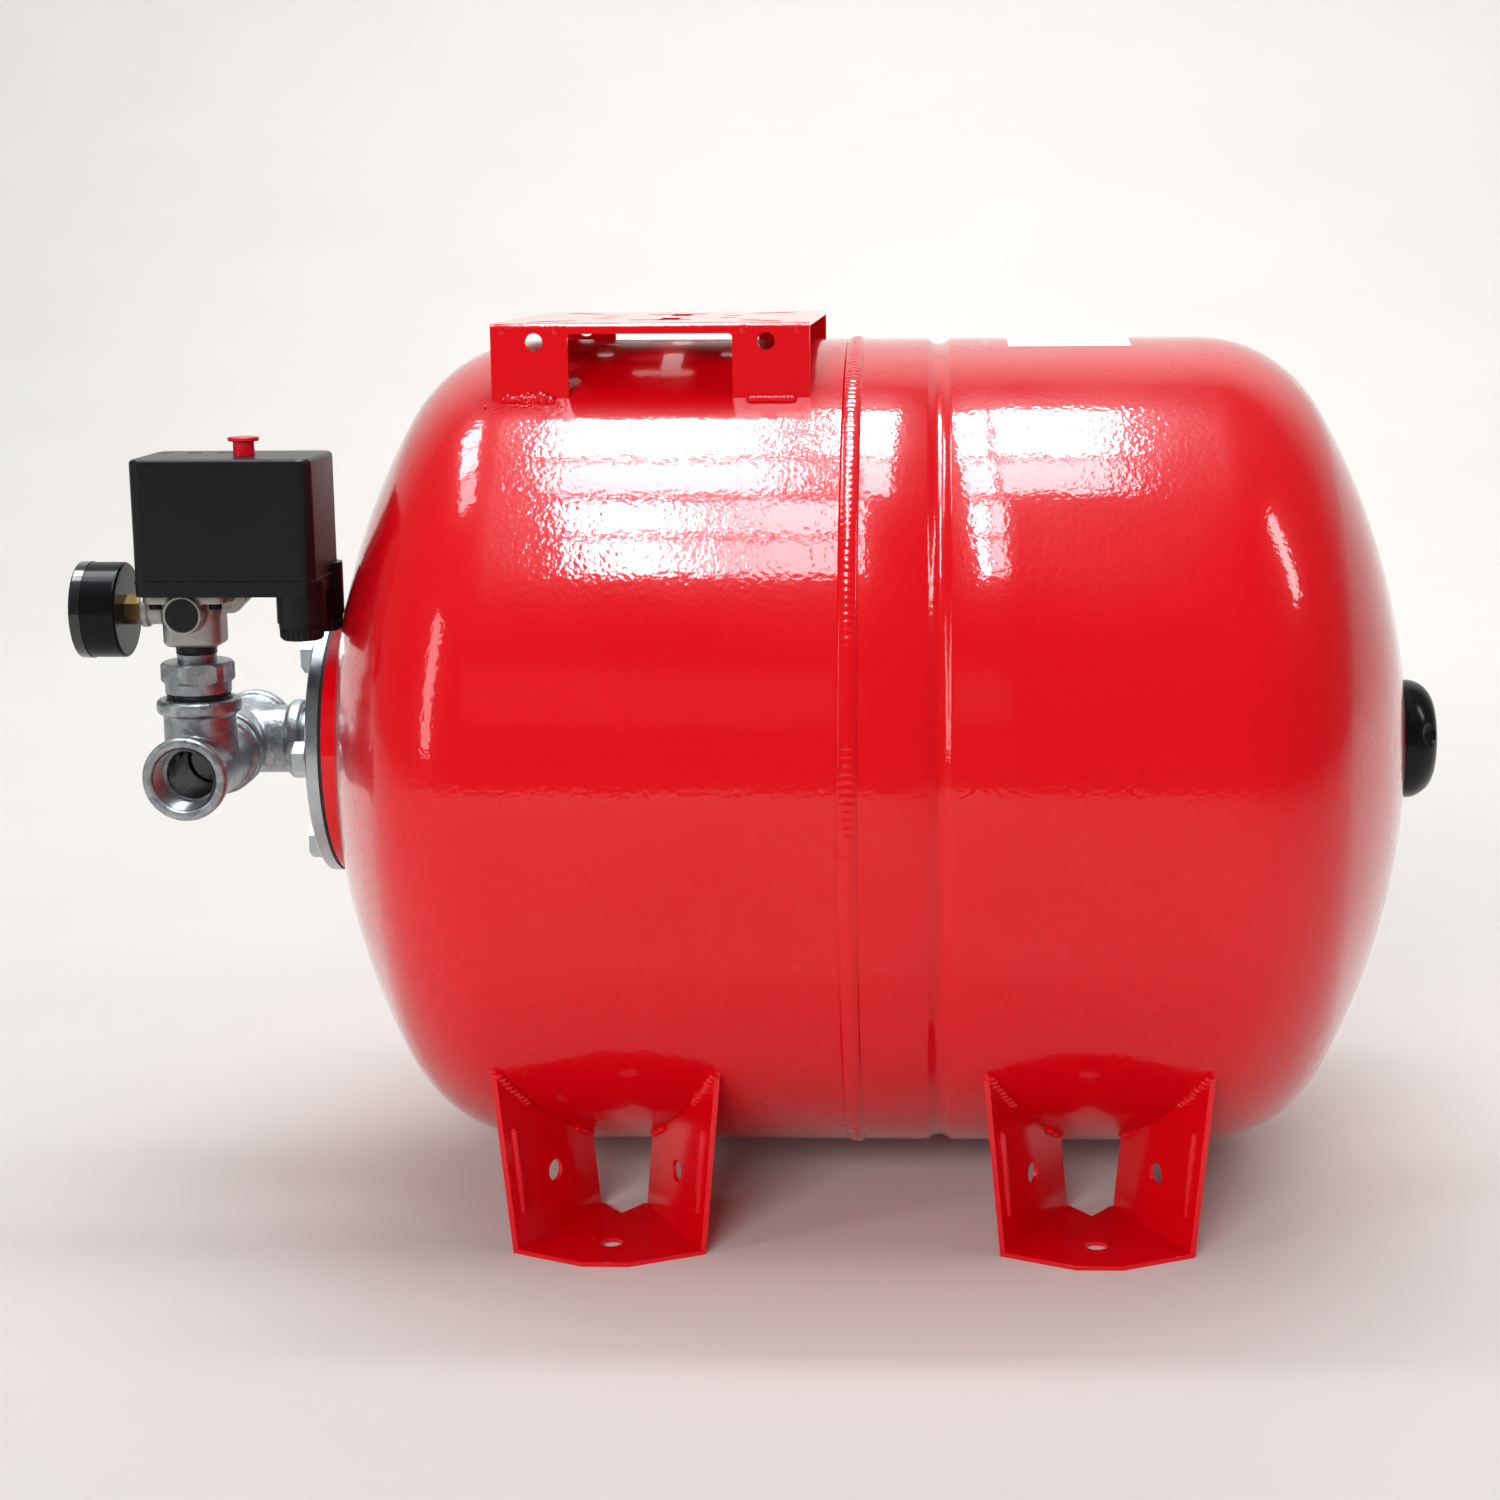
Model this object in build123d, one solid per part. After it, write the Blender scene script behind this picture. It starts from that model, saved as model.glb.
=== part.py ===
from build123d import *
import math
import os

os.makedirs("parts", exist_ok=True)

# Horizontal 80 litre pressure tank, 450 mm across, with a 1 in BSP pipe group, a dial gauge and
# a pressure switch on its flange end.
# Frame: X along the tank with the flange end at -X, Z up.  The origin lies on the floor, under
# the seam weld and midway between the four feet.  Millimetres.

# ---- tank shell
AXIS_Z = 240.5          # height of the tank's axis above the floor
TANK_R = 225.0
SHELL_T = 2.0
LEFT_L = 292.5          # seam to the tip of the flange end, before its opening is cut
RIGHT_L = 302.5
HEAD_DEPTH = 115.0
KNUCKLE_R = 73.0
CROWN_R = (HEAD_DEPTH**2 - KNUCKLE_R**2 + (TANK_R - KNUCKLE_R) ** 2) / (2 * (HEAD_DEPTH - KNUCKLE_R))
KNUCKLE_ANGLE = math.atan2(TANK_R - KNUCKLE_R, CROWN_R - HEAD_DEPTH)
GROOVE_X = 45.0         # rolled groove in the right half
GROOVE_HALF_W = 6.5
GROOVE_DEPTH = 2.8
SEAM_HALF_W = 5.0
SEAM_HEIGHT = 1.6

# ---- flange end
FLANGE_R = 75.0
FLANGE_T = 7.0
OPENING_R = 50.0
RING_FACE_X = -291.5    # outer face of the ring that is welded to the shell
LIP_T = 2.0             # rubber lip between the ring and the flange
FLANGE_X = RING_FACE_X - LIP_T - FLANGE_T
BOLT_COUNT = 6
BOLT_PCD = 122.0
BOLT_R = 5.0
BOLT_HOLE_R = 5.25
BOLT_HEAD_AF = 17.0
BOLT_HEAD_H = 6.6
WASHER_T = 1.8
BOLT_GRIP = 3.2         # thread in the ring
RING_DEPTH = 12.0       # before it is trimmed to the shell
HUB_R = 23.0
HUB_L = 5.0
BLADDER_NECK_R = 48.0
BLADDER_T = 1.8

# ---- 1 in BSP malleable fittings
G1_R = 16.6
PIPE_BORE_R = 12.5
TEE_REACH = 38.0        # centre to face
TEE_BODY_R = 19.4
COLLAR_R = 22.6
COLLAR_L = 8.0
SOCKET_DEPTH = 17.0
MOUTH = 1.5             # chamfer at the mouth of a socket
PIPE_X = -355.0         # axis of both tees
TEE_GAP = 4.0           # bare thread between the two tees
TEE_Y = -(2 * TEE_REACH + TEE_GAP)

# ---- column from the front tee to the switch, heights above the tank's axis
G12_R = 10.48
BUSHING_THREAD_TOP = 41.5
BUSHING_SHOULDER_TOP = 47.0
BUSHING_TOP = 58.0
BUSHING_AF = 36.0
MANIFOLD_BOTTOM = 67.0
MANIFOLD_PORT_H = 86.0
MANIFOLD_TOP = 96.5
PORT_BOSS_R = 10.4
G14_R = 6.58

# ---- gauge, 50 mm class, axis along X
GAUGE_FACE_X = -415.5
GAUGE_BACK_X = -391.0
GAUGE_R = 25.6
BEZEL_R = 26.1
ARM_END_X = -383.0
POINTER_X = -407.8
GEAR_X = -402.0
PINION_R = 2.0
SECTOR_R = 14.0
SECTOR_T = 1.2
PIVOT_R = 0.8
POINTER_START = 135.0   # zero mark, degrees from straight up
POINTER_SWEEP = 270.0
SECTOR_START = POINTER_SWEEP * PINION_R / SECTOR_R / 2

# ---- pressure switch, heights above the tank's axis
SWITCH_X = -330.5
SWITCH_L = 96.0
SWITCH_W = 62.0
COVER_BOTTOM = 103.5
COVER_TOP = 168.7
COVER_T = 2.5
CORNER_R = 7.0
KNOB_X = -324.0
KNOB_TOP = 178.3
KNOB_STEM_R = 5.6
KNOB_TRAVEL = 5.0       # pushed down from its raised, running position
DIAPHRAGM_R = 18.2
SPRING_TOP = 135.0      # fixed end of the main spring
STIRRUP_TOP = 144.0
ADJUSTER_R = 3.0
LEVER_PIVOT_X = -332.0
LEVER_PIVOT_H = 106.0
CONTACT_H = LEVER_PIVOT_H + 2.3
CONTACT_END_X = -315.0
TERMINAL_X = -319.0
TERMINAL_TOP = 124.0
TERMINAL_SCREW_X = -312.5
GLAND_R = 12.8
FRONT_GLAND = (-293.0, -97.0)
REAR_GLAND = (-291.0, -62.0)
GLAND_BORE_R = 6.5

# ---- feet, 2.5 mm sheet bent into a funnel; y is measured from the tank's mid plane
FOOT_X = 127.0
FOOT_T = 2.5
FOOT_FRONT_Y = 175.0
FOOT_NARROW_Y = 108.0
FOOT_FRONT_HALF = 50.5
FOOT_NARROW_HALF = 15.0
FOOT_SPREAD = (FOOT_FRONT_HALF - FOOT_NARROW_HALF) / (FOOT_FRONT_Y - FOOT_NARROW_Y)
FOOT_LEAN = 0.092       # outward lean of a side wall per millimetre of height
FOOT_NOSE = 18.0        # how far the bottom plate's middle stands out in front
FOOT_NOSE_HALF = 12.0
FOOT_NOTCH = 15.0
FOOT_HOLE_R = 5.75
FOOT_HOLE_Y = 165.0
WALL_HOLE_Y = 139.0
WALL_HOLE_H = 33.0

# ---- pump bracket, 2 mm sheet, on top
BRACKET_X = -104.0
BRACKET_L = 165.0
BRACKET_W = 210.0
BRACKET_T = 2.0
BRACKET_TOP = AXIS_Z + 237.5
BRACKET_LEG_L = 40.0
BRACKET_BAND = 5.5      # strip of flange left above the cut-out
BRACKET_HOLE_R = 4.5
BRACKET_HOLE_SPACING = 120.0
BRACKET_HOLE_DROP = 9.5
BRACKET_BEND_R = 3.0
PAD_SLOT_SPACING_X = 110.0
PAD_SLOT_SPACING_Y = 140.0
PAD_SLOT_L = 30.0
PAD_SLOT_W = 9.0

# ---- paper label over the top of the right half, edges measured from straight up
LABEL_X = 82.0
LABEL_L = 66.0
LABEL_T = 0.25
LABEL_REAR_ANGLE = 15.5
LABEL_FRONT_ANGLE = 9.8

# ---- air valve end
VALVE_BOSS_R = 11.0
VALVE_STEM_R = 5.1
VALVE_BORE_R = 2.2
CAP_R = 33.3
CAP_RIM_X = 301.3       # edge of the cap, just clear of the crown
CAP_TOP_X = 322.3
CAP_T = 2.5

FIT = 0.05              # radial clearance of a turning or sliding fit
GAP = 0.3               # clearance between pieces that pass each other


def polar(centre, radius, angle):
    return (centre[0] + radius * math.cos(angle), centre[1] + radius * math.sin(angle))


def bar_x(radius, x_from, x_to, y=0.0, z=0.0):
    """Round bar along X; y and z are measured from the tank's axis."""
    bar = Cylinder(radius, x_to - x_from, align=(Align.CENTER, Align.CENTER, Align.MIN))
    return Pos(x_from, y, AXIS_Z + z) * Rot(0, 90, 0) * bar


def bar_y(radius, y_from, y_to, x=0.0, z=0.0):
    bar = Cylinder(radius, y_to - y_from, align=(Align.CENTER, Align.CENTER, Align.MIN))
    return Pos(x, y_from, AXIS_Z + z) * Rot(-90, 0, 0) * bar


def bar_z(radius, z_from, z_to, x=0.0, y=0.0):
    bar = Cylinder(radius, z_to - z_from, align=(Align.CENTER, Align.CENTER, Align.MIN))
    return Pos(x, y, AXIS_Z + z_from) * bar


def block(x_from, x_to, y_from, y_to, z_from, z_to):
    """Box between two corners; z is measured from the tank's axis."""
    box = Box(x_to - x_from, y_to - y_from, z_to - z_from, align=Align.MIN)
    return Pos(x_from, y_from, AXIS_Z + z_from) * box


def hexagon_x(across_flats, x_from, x_to, y=0.0, z=0.0):
    head = extrude(RegularPolygon(across_flats / 2, 6, major_radius=False), x_to - x_from)
    return Pos(x_from, y, AXIS_Z + z) * Rot(0, 90, 0) * head


def hexagon_z(across_flats, z_from, z_to, x=0.0, y=0.0, turn=0.0):
    head = extrude(RegularPolygon(across_flats / 2, 6, major_radius=False), z_to - z_from)
    return Pos(x, y, AXIS_Z + z_from) * Rot(0, 0, turn) * head


def around_tank_axis(shape):
    """Turn a profile drawn in the XZ plane about X and lift it to the tank's axis."""
    return Pos(0, 0, AXIS_Z) * revolve(shape, Axis.X, 360)


# ------------------------------------------------------------------ tank shell

def head_curve(length, offset, opening_r, groove):
    """Cylinder, knuckle and crown of one half, drawn from the seam at x = 0 to the opening."""
    radius = TANK_R - offset
    knuckle = (length - HEAD_DEPTH, TANK_R - KNUCKLE_R)
    crown = (length - CROWN_R, 0.0)
    crown_end = math.asin(opening_r / (CROWN_R - offset))
    joint = polar(knuckle, KNUCKLE_R - offset, KNUCKLE_ANGLE)
    knuckle_middle = polar(knuckle, KNUCKLE_R - offset, (KNUCKLE_ANGLE + math.pi / 2) / 2)
    crown_middle = polar(crown, CROWN_R - offset, (KNUCKLE_ANGLE + crown_end) / 2)
    opening = polar(crown, CROWN_R - offset, crown_end)
    start = (0.0, radius)
    parts = []
    if groove:
        edge = (GROOVE_X - GROOVE_HALF_W, radius)
        bottom = (GROOVE_X, radius - GROOVE_DEPTH)
        far_edge = (GROOVE_X + GROOVE_HALF_W, radius)
        parts += [Line(start, edge), ThreePointArc(edge, bottom, far_edge)]
        start = far_edge
    parts.append(Line(start, (knuckle[0], radius)))
    parts.append(ThreePointArc((knuckle[0], radius), knuckle_middle, joint))
    parts.append(ThreePointArc(joint, crown_middle, opening))
    return parts, opening


def shell_half(length, opening_r, groove):
    outer, outer_end = head_curve(length, 0.0, opening_r, groove)
    inner, inner_end = head_curve(length, SHELL_T, opening_r, groove)
    ends = [Line((0.0, TANK_R), (0.0, TANK_R - SHELL_T)), Line(outer_end, inner_end)]
    return around_tank_axis(Plane.XZ * make_face(outer + inner + ends))


def filled_half(length):
    """The space that one half takes up, for trimming what is welded to it."""
    tip_r = 0.01
    curve, tip = head_curve(length, 0.0, tip_r, False)
    ends = [Line(tip, (tip[0], 0.0)), Line((tip[0], 0.0), (0.0, 0.0)), Line((0.0, 0.0), (0.0, TANK_R))]
    return around_tank_axis(Plane.XZ * make_face(curve + ends))


def seam_weld():
    """Bead over the joint of the two halves."""
    left = (-SEAM_HALF_W, TANK_R)
    right = (SEAM_HALF_W, TANK_R)
    crest = (0.0, TANK_R + SEAM_HEIGHT)
    return around_tank_axis(Plane.XZ * make_face([ThreePointArc(left, crest, right), Line(right, left)]))


# ------------------------------------------------------------------ flange end

def bolt_positions():
    for step in range(BOLT_COUNT):
        angle = math.radians(360.0 * step / BOLT_COUNT)
        yield BOLT_PCD / 2 * math.cos(angle), BOLT_PCD / 2 * math.sin(angle)


def neck_ring(tank):
    back = RING_FACE_X + RING_DEPTH
    ring = bar_x(FLANGE_R, RING_FACE_X, back) - bar_x(OPENING_R, RING_FACE_X, back)
    for y, z in bolt_positions():
        ring -= bar_x(BOLT_R, RING_FACE_X, RING_FACE_X + BOLT_GRIP, y, z)
    return ring - tank


def bladder_curve(offset):
    """Outline of the rubber bag from its neck to its closed end, moved in by offset."""
    neck = BLADDER_NECK_R - offset
    points = [(-262.0, neck), (-205.0, 112.0 - offset), (-90.0, 148.0 - offset)]
    points += [(40.0, 118.0 - offset), (112.0 - offset, 0.0)]
    bag = Spline(points, tangents=[(1, 0.55), (0, -1)])
    return [Line((RING_FACE_X, neck), points[0]), bag], points[-1]


def bladder():
    """Rubber bag whose lip is the seal between the ring and the flange."""
    outer, outer_tip = bladder_curve(0.0)
    inner, inner_tip = bladder_curve(BLADDER_T)
    inner_r = BLADDER_NECK_R - BLADDER_T
    ends = [Line((RING_FACE_X, BLADDER_NECK_R), (RING_FACE_X, inner_r)), Line(inner_tip, outer_tip)]
    bag = around_tank_axis(Plane.XZ * make_face(outer + inner + ends))
    lip_face = RING_FACE_X - LIP_T
    lip = bar_x(FLANGE_R, lip_face, RING_FACE_X) - bar_x(inner_r, lip_face, RING_FACE_X)
    for y, z in bolt_positions():
        lip -= bar_x(BOLT_HOLE_R, lip_face, RING_FACE_X, y, z)
    return bag + lip


def counter_flange():
    """Galvanised flange with a short hub and a 1 in male spigot."""
    plate = bar_x(FLANGE_R, FLANGE_X, FLANGE_X + FLANGE_T)
    plate = chamfer(plate.edges().filter_by(GeomType.CIRCLE).sort_by(Axis.X)[0], 0.8)
    hub_end = FLANGE_X - HUB_L
    hub = bar_x(HUB_R, hub_end, FLANGE_X)
    spigot = bar_x(G1_R, PIPE_X + TEE_REACH - SOCKET_DEPTH + 1, hub_end)
    flange = plate + hub + spigot
    for y, z in bolt_positions():
        flange -= bar_x(BOLT_HOLE_R, FLANGE_X, FLANGE_X + FLANGE_T, y, z)
    return flange - bar_x(PIPE_BORE_R, PIPE_X, FLANGE_X + FLANGE_T)


def flange_bolts():
    head_face = FLANGE_X - WASHER_T
    bolts = []
    for y, z in bolt_positions():
        head = hexagon_x(BOLT_HEAD_AF, head_face - BOLT_HEAD_H, head_face, y, z)
        bolts.append(head + bar_x(BOLT_R, head_face, RING_FACE_X + BOLT_GRIP, y, z))
    return Compound(bolts)


def flange_washers():
    washers = []
    for y, z in bolt_positions():
        washer = bar_x(10, FLANGE_X - WASHER_T, FLANGE_X, y, z)
        washers.append(washer - bar_x(BOLT_HOLE_R, FLANGE_X - WASHER_T, FLANGE_X, y, z))
    return Compound(washers)


# ------------------------------------------------------------------ pipe group

def tee():
    """Malleable 1 in tee at the origin: run along Y, branch up."""
    def arm(radius, length):
        return Cylinder(radius, length, align=(Align.CENTER, Align.CENTER, Align.MIN))

    turns = [Rot(0, 0, 0), Rot(90, 0, 0), Rot(-90, 0, 0)]
    collar = Pos(0, 0, TEE_REACH - COLLAR_L) * arm(COLLAR_R, COLLAR_L)
    collar = fillet(collar.edges().filter_by(GeomType.CIRCLE), 2.2)
    mouth = Cone(G1_R, G1_R + MOUTH, MOUTH, align=(Align.CENTER, Align.CENTER, Align.MAX))
    mouth = Pos(0, 0, TEE_REACH) * mouth
    body = turns[0] * arm(TEE_BODY_R, TEE_REACH - 1)
    for turn in turns[1:]:
        body += turn * arm(TEE_BODY_R, TEE_REACH - 1)
    for turn in turns:
        body += turn * collar
    for turn in turns:
        body -= turn * arm(PIPE_BORE_R + 1, TEE_REACH)
        body -= turn * (Pos(0, 0, TEE_REACH - SOCKET_DEPTH) * arm(G1_R, SOCKET_DEPTH))
        body -= turn * mouth
    return body


def flange_tee():
    return Pos(PIPE_X, 0, AXIS_Z) * Rot(0, 90, 0) * tee()


def switch_tee():
    return Pos(PIPE_X, TEE_Y, AXIS_Z) * tee()


def tee_nipple():
    front = TEE_Y + TEE_REACH - SOCKET_DEPTH + 1
    back = -TEE_REACH + SOCKET_DEPTH - 1
    return bar_y(G1_R, front, back, PIPE_X) - bar_y(PIPE_BORE_R, front, back, PIPE_X)


def reducing_bushing():
    foot = TEE_REACH - SOCKET_DEPTH + 3
    thread = bar_z(G1_R, foot, BUSHING_THREAD_TOP, PIPE_X, TEE_Y)
    shoulder = bar_z(G1_R + 1, BUSHING_THREAD_TOP, BUSHING_SHOULDER_TOP, PIPE_X, TEE_Y)
    head = hexagon_z(BUSHING_AF, BUSHING_SHOULDER_TOP, BUSHING_TOP, PIPE_X, TEE_Y, 22)
    rounding = bar_z(BUSHING_AF / 2 + 1.6, BUSHING_SHOULDER_TOP, BUSHING_TOP, PIPE_X, TEE_Y)
    rounding = chamfer(rounding.edges().filter_by(GeomType.CIRCLE), 1.4)
    return thread + shoulder + (head & rounding) - bar_z(G12_R, foot, BUSHING_TOP, PIPE_X, TEE_Y)


def switch_nipple():
    foot = BUSHING_SHOULDER_TOP - 3
    top = MANIFOLD_BOTTOM + 12
    return bar_z(G12_R, foot, top, PIPE_X, TEE_Y) - bar_z(7.5, foot, top, PIPE_X, TEE_Y)


def manifold():
    """Die-cast port block under the switch, with a bottom port and four side ports."""
    trunk = block(PIPE_X - 15.7, PIPE_X + 15.7, TEE_Y - 14, TEE_Y + 14, MANIFOLD_BOTTOM, MANIFOLD_TOP - 5)
    trunk = fillet(trunk.edges().filter_by(Axis.Z), 8)
    trunk = chamfer(trunk.faces().sort_by(Axis.Z)[0].edges(), 1.8)
    plate = block(PIPE_X - 23, PIPE_X + 23, TEE_Y - 22, TEE_Y + 22, MANIFOLD_TOP - 5, MANIFOLD_TOP)
    plate = fillet(plate.edges().filter_by(Axis.Z), 7)
    body = trunk + plate
    body += bar_y(PORT_BOSS_R, TEE_Y - 25, TEE_Y + 25, PIPE_X, MANIFOLD_PORT_H)
    body += bar_x(8, ARM_END_X, PIPE_X, TEE_Y, MANIFOLD_PORT_H)
    body += bar_x(9.5, ARM_END_X, ARM_END_X + 4, TEE_Y, MANIFOLD_PORT_H)
    lug = block(PIPE_X + 12, PIPE_X + 30, TEE_Y - 6, TEE_Y + 6, MANIFOLD_TOP - 12, MANIFOLD_TOP)
    body += chamfer(lug.edges().filter_by(Axis.Y).group_by(Axis.Z)[0].sort_by(Axis.X)[-1], 7)
    body -= bar_z(G12_R, MANIFOLD_BOTTOM, MANIFOLD_BOTTOM + 12, PIPE_X, TEE_Y)
    body -= bar_z(4, MANIFOLD_BOTTOM, MANIFOLD_TOP, PIPE_X, TEE_Y)
    body -= bar_x(G14_R, ARM_END_X, ARM_END_X + 10, TEE_Y, MANIFOLD_PORT_H)
    body -= bar_x(2.5, ARM_END_X, PIPE_X, TEE_Y, MANIFOLD_PORT_H)
    body -= bar_y(2.5, TEE_Y - 25, TEE_Y + 25, PIPE_X, MANIFOLD_PORT_H)
    for side in (-1, 1):
        for depth, radius in ((2.0, 8.6), (13.0, G14_R)):
            ends = sorted((TEE_Y + side * 25, TEE_Y + side * (25 - depth)))
            body -= bar_y(radius, ends[0], ends[1], PIPE_X, MANIFOLD_PORT_H)
    for x, y in manifold_screw_points():
        body -= bar_z(2, MANIFOLD_TOP - 5, MANIFOLD_TOP, x, y)
    return body


def manifold_screw_points():
    for dx in (-16, 16):
        for dy in (-16.5, 16.5):
            yield PIPE_X + dx, TEE_Y + dy


def manifold_screws():
    """Screws up through the manifold's plate into the switch base."""
    screws = []
    for x, y in manifold_screw_points():
        head = bar_z(3.4, MANIFOLD_TOP - 8, MANIFOLD_TOP - 5, x, y)
        screws.append(head + bar_z(2, MANIFOLD_TOP - 5, MANIFOLD_TOP + 4.5, x, y))
    return Compound(screws)


def port_plugs():
    """Black plastic plugs in the front and rear side ports."""
    plugs = []
    for side in (-1, 1):
        face = TEE_Y + side * 25.4
        shoulder = TEE_Y + side * 23
        end = TEE_Y + side * 14
        disc = bar_y(8.6, min(face, shoulder), max(face, shoulder), PIPE_X, MANIFOLD_PORT_H)
        shank = bar_y(G14_R, min(shoulder, end), max(shoulder, end), PIPE_X, MANIFOLD_PORT_H)
        plugs.append(disc + shank)
    return Compound(plugs)


# ------------------------------------------------------------------ dial gauge

def gauge_bar(radius, x_from, x_to, dy=0.0, dz=0.0):
    return bar_x(radius, x_from, x_to, TEE_Y + dy, MANIFOLD_PORT_H + dz)


def gauge_case():
    wall = 0.9
    cup = gauge_bar(GAUGE_R, GAUGE_FACE_X + 6, GAUGE_BACK_X)
    cup = fillet(cup.edges().filter_by(GeomType.CIRCLE).sort_by(Axis.X)[-1], 1.6)
    cup += gauge_bar(GAUGE_R - 0.6, GAUGE_FACE_X + 3.2, GAUGE_FACE_X + 6)
    cup -= gauge_bar(GAUGE_R - wall, GAUGE_FACE_X, GAUGE_BACK_X - wall)
    return cup - gauge_bar(5, GAUGE_BACK_X - wall, GAUGE_BACK_X)


def gauge_bezel():
    ring = gauge_bar(BEZEL_R, GAUGE_FACE_X, GAUGE_FACE_X + 6)
    ring = fillet(ring.edges().filter_by(GeomType.CIRCLE).sort_by(Axis.X)[0], 1.0)
    ring -= gauge_bar(GAUGE_R - 0.6, GAUGE_FACE_X + 1.2, GAUGE_FACE_X + 6)
    return ring - gauge_bar(23, GAUGE_FACE_X, GAUGE_FACE_X + 1.2)


def gauge_lens():
    return gauge_bar(GAUGE_R - 0.9, GAUGE_FACE_X + 1.2, GAUGE_FACE_X + 3.0)


def gauge_dial():
    """Printed disc on two short posts of the movement."""
    disc = gauge_bar(23.8, POINTER_X + 1.6, POINTER_X + 2.2)
    return disc - gauge_bar(1.6, POINTER_X + 1.6, POINTER_X + 2.2)


def gauge_socket():
    """Brass connection: thread, hexagon, shank through the case and a block inside it."""
    shank = gauge_bar(5, GAUGE_BACK_X - 0.9, GAUGE_BACK_X)
    head = hexagon_x(14, GAUGE_BACK_X, ARM_END_X, TEE_Y, MANIFOLD_PORT_H)
    thread = gauge_bar(G14_R, ARM_END_X, ARM_END_X + 9)
    inner = block(GAUGE_BACK_X - 3.9, GAUGE_BACK_X - 0.9, TEE_Y - 8, TEE_Y + 8, MANIFOLD_PORT_H - 20,
                  MANIFOLD_PORT_H + 6)
    return shank + head + thread + inner - gauge_bar(1.5, GAUGE_BACK_X - 3, ARM_END_X + 9)


def bourdon_tube():
    """Flat curved tube that straightens under pressure and pulls the sector gear."""
    outer_r = 19.0
    section = 3.0
    ring = gauge_bar(outer_r, GAUGE_BACK_X - 7.2, GAUGE_BACK_X - 3.9)
    ring -= gauge_bar(outer_r - section, GAUGE_BACK_X - 7.2, GAUGE_BACK_X - 3.9)
    low = MANIFOLD_PORT_H - 22
    high = MANIFOLD_PORT_H + 4
    return ring - block(GAUGE_BACK_X - 8, GAUGE_BACK_X - 3, TEE_Y + 6, TEE_Y + 22, low, high)


def sector_centre():
    """Sector pivot, straight below the pointer's axis by one gear centre distance."""
    return 0.0, -(PINION_R + SECTOR_R)


def gauge_pointer():
    """Needle, its arbor and the pinion that the sector drives."""
    right_side = [(1.3, -6), (0.9, 8), (0.15, 18.5)]
    left_side = [(-x, y) for x, y in reversed(right_side)]
    needle = extrude(make_face(Polyline(*right_side, *left_side, right_side[0])), 0.5)
    hub = Cylinder(2.4, 0.5, align=(Align.CENTER, Align.CENTER, Align.MIN))
    turned = Pos(POINTER_X, TEE_Y, AXIS_Z + MANIFOLD_PORT_H) * Rot(-POINTER_START, 0, 0)
    pointer = turned * Rot(0, 90, 0) * Rot(0, 0, 90) * (needle + hub)
    arbor = gauge_bar(PIVOT_R, POINTER_X, GEAR_X + 2.9)
    return pointer + arbor + gauge_bar(PINION_R - GAP, GEAR_X, GEAR_X + 1.6)


def gauge_sector():
    dy, dz = sector_centre()
    seat = (Align.CENTER, Align.CENTER, Align.MIN)
    rim = Cylinder(SECTOR_R, SECTOR_T, align=seat) - Cylinder(SECTOR_R - 3, SECTOR_T, align=seat)
    spoke = Pos(0, SECTOR_R / 2 - 1, 0) * Box(3, SECTOR_R - 2, SECTOR_T, align=seat)
    keep = make_face(Polyline((0, 0), (13, 17), (-13, 17), (0, 0)))
    rim &= extrude(keep, SECTOR_T)
    sector = rim + spoke + Cylinder(2.2, SECTOR_T, align=seat)
    sector -= Cylinder(PIVOT_R + FIT, SECTOR_T, align=seat)
    place = Pos(GEAR_X + 0.2, TEE_Y + dy, AXIS_Z + MANIFOLD_PORT_H + dz) * Rot(SECTOR_START, 0, 0)
    return place * Rot(0, 90, 0) * Rot(0, 0, 90) * sector


def gauge_movement():
    """Two brass plates, their pillars and the sector's pivot, screwed to the socket block."""
    dy, dz = sector_centre()
    plate_t = 0.8
    back_x = GEAR_X + 2.1
    front_x = GEAR_X - 1.8
    low = MANIFOLD_PORT_H - 21
    high = MANIFOLD_PORT_H + 6
    plate = block(back_x, back_x + plate_t, TEE_Y - 8, TEE_Y + 8, low, high)
    front = block(front_x, front_x + plate_t, TEE_Y - 8, TEE_Y + 8, low, high)
    pillars = gauge_bar(1, front_x, back_x, -7, 5) + gauge_bar(1, front_x, back_x, 7, 5)
    pivot = gauge_bar(PIVOT_R, front_x, back_x, dy, dz)
    frame = plate + front + pillars + pivot
    for side in (-6, 6):
        frame += gauge_bar(2.0, back_x + plate_t, GAUGE_BACK_X - 3.9, side, 4)
        frame += gauge_bar(1, POINTER_X + 2.2, front_x, side, -18)
    return frame - gauge_bar(PIVOT_R + FIT, front_x, back_x + plate_t)


# ------------------------------------------------------------------ pressure switch

def switch_outline(grow):
    """Rounded rectangle of the switch in plan, made larger or smaller by grow."""
    outline = RectangleRounded(SWITCH_L + 2 * grow, SWITCH_W + 2 * grow, CORNER_R + grow)
    return Pos(SWITCH_X, TEE_Y, 0) * outline


def switch_prism(grow, z_from, z_to):
    return Pos(0, 0, AXIS_Z + z_from) * extrude(switch_outline(grow), z_to - z_from)


def cover_screw_points():
    return [(SWITCH_X - 38, TEE_Y + 24.4), (SWITCH_X - 8, TEE_Y - 24.4)]


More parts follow.
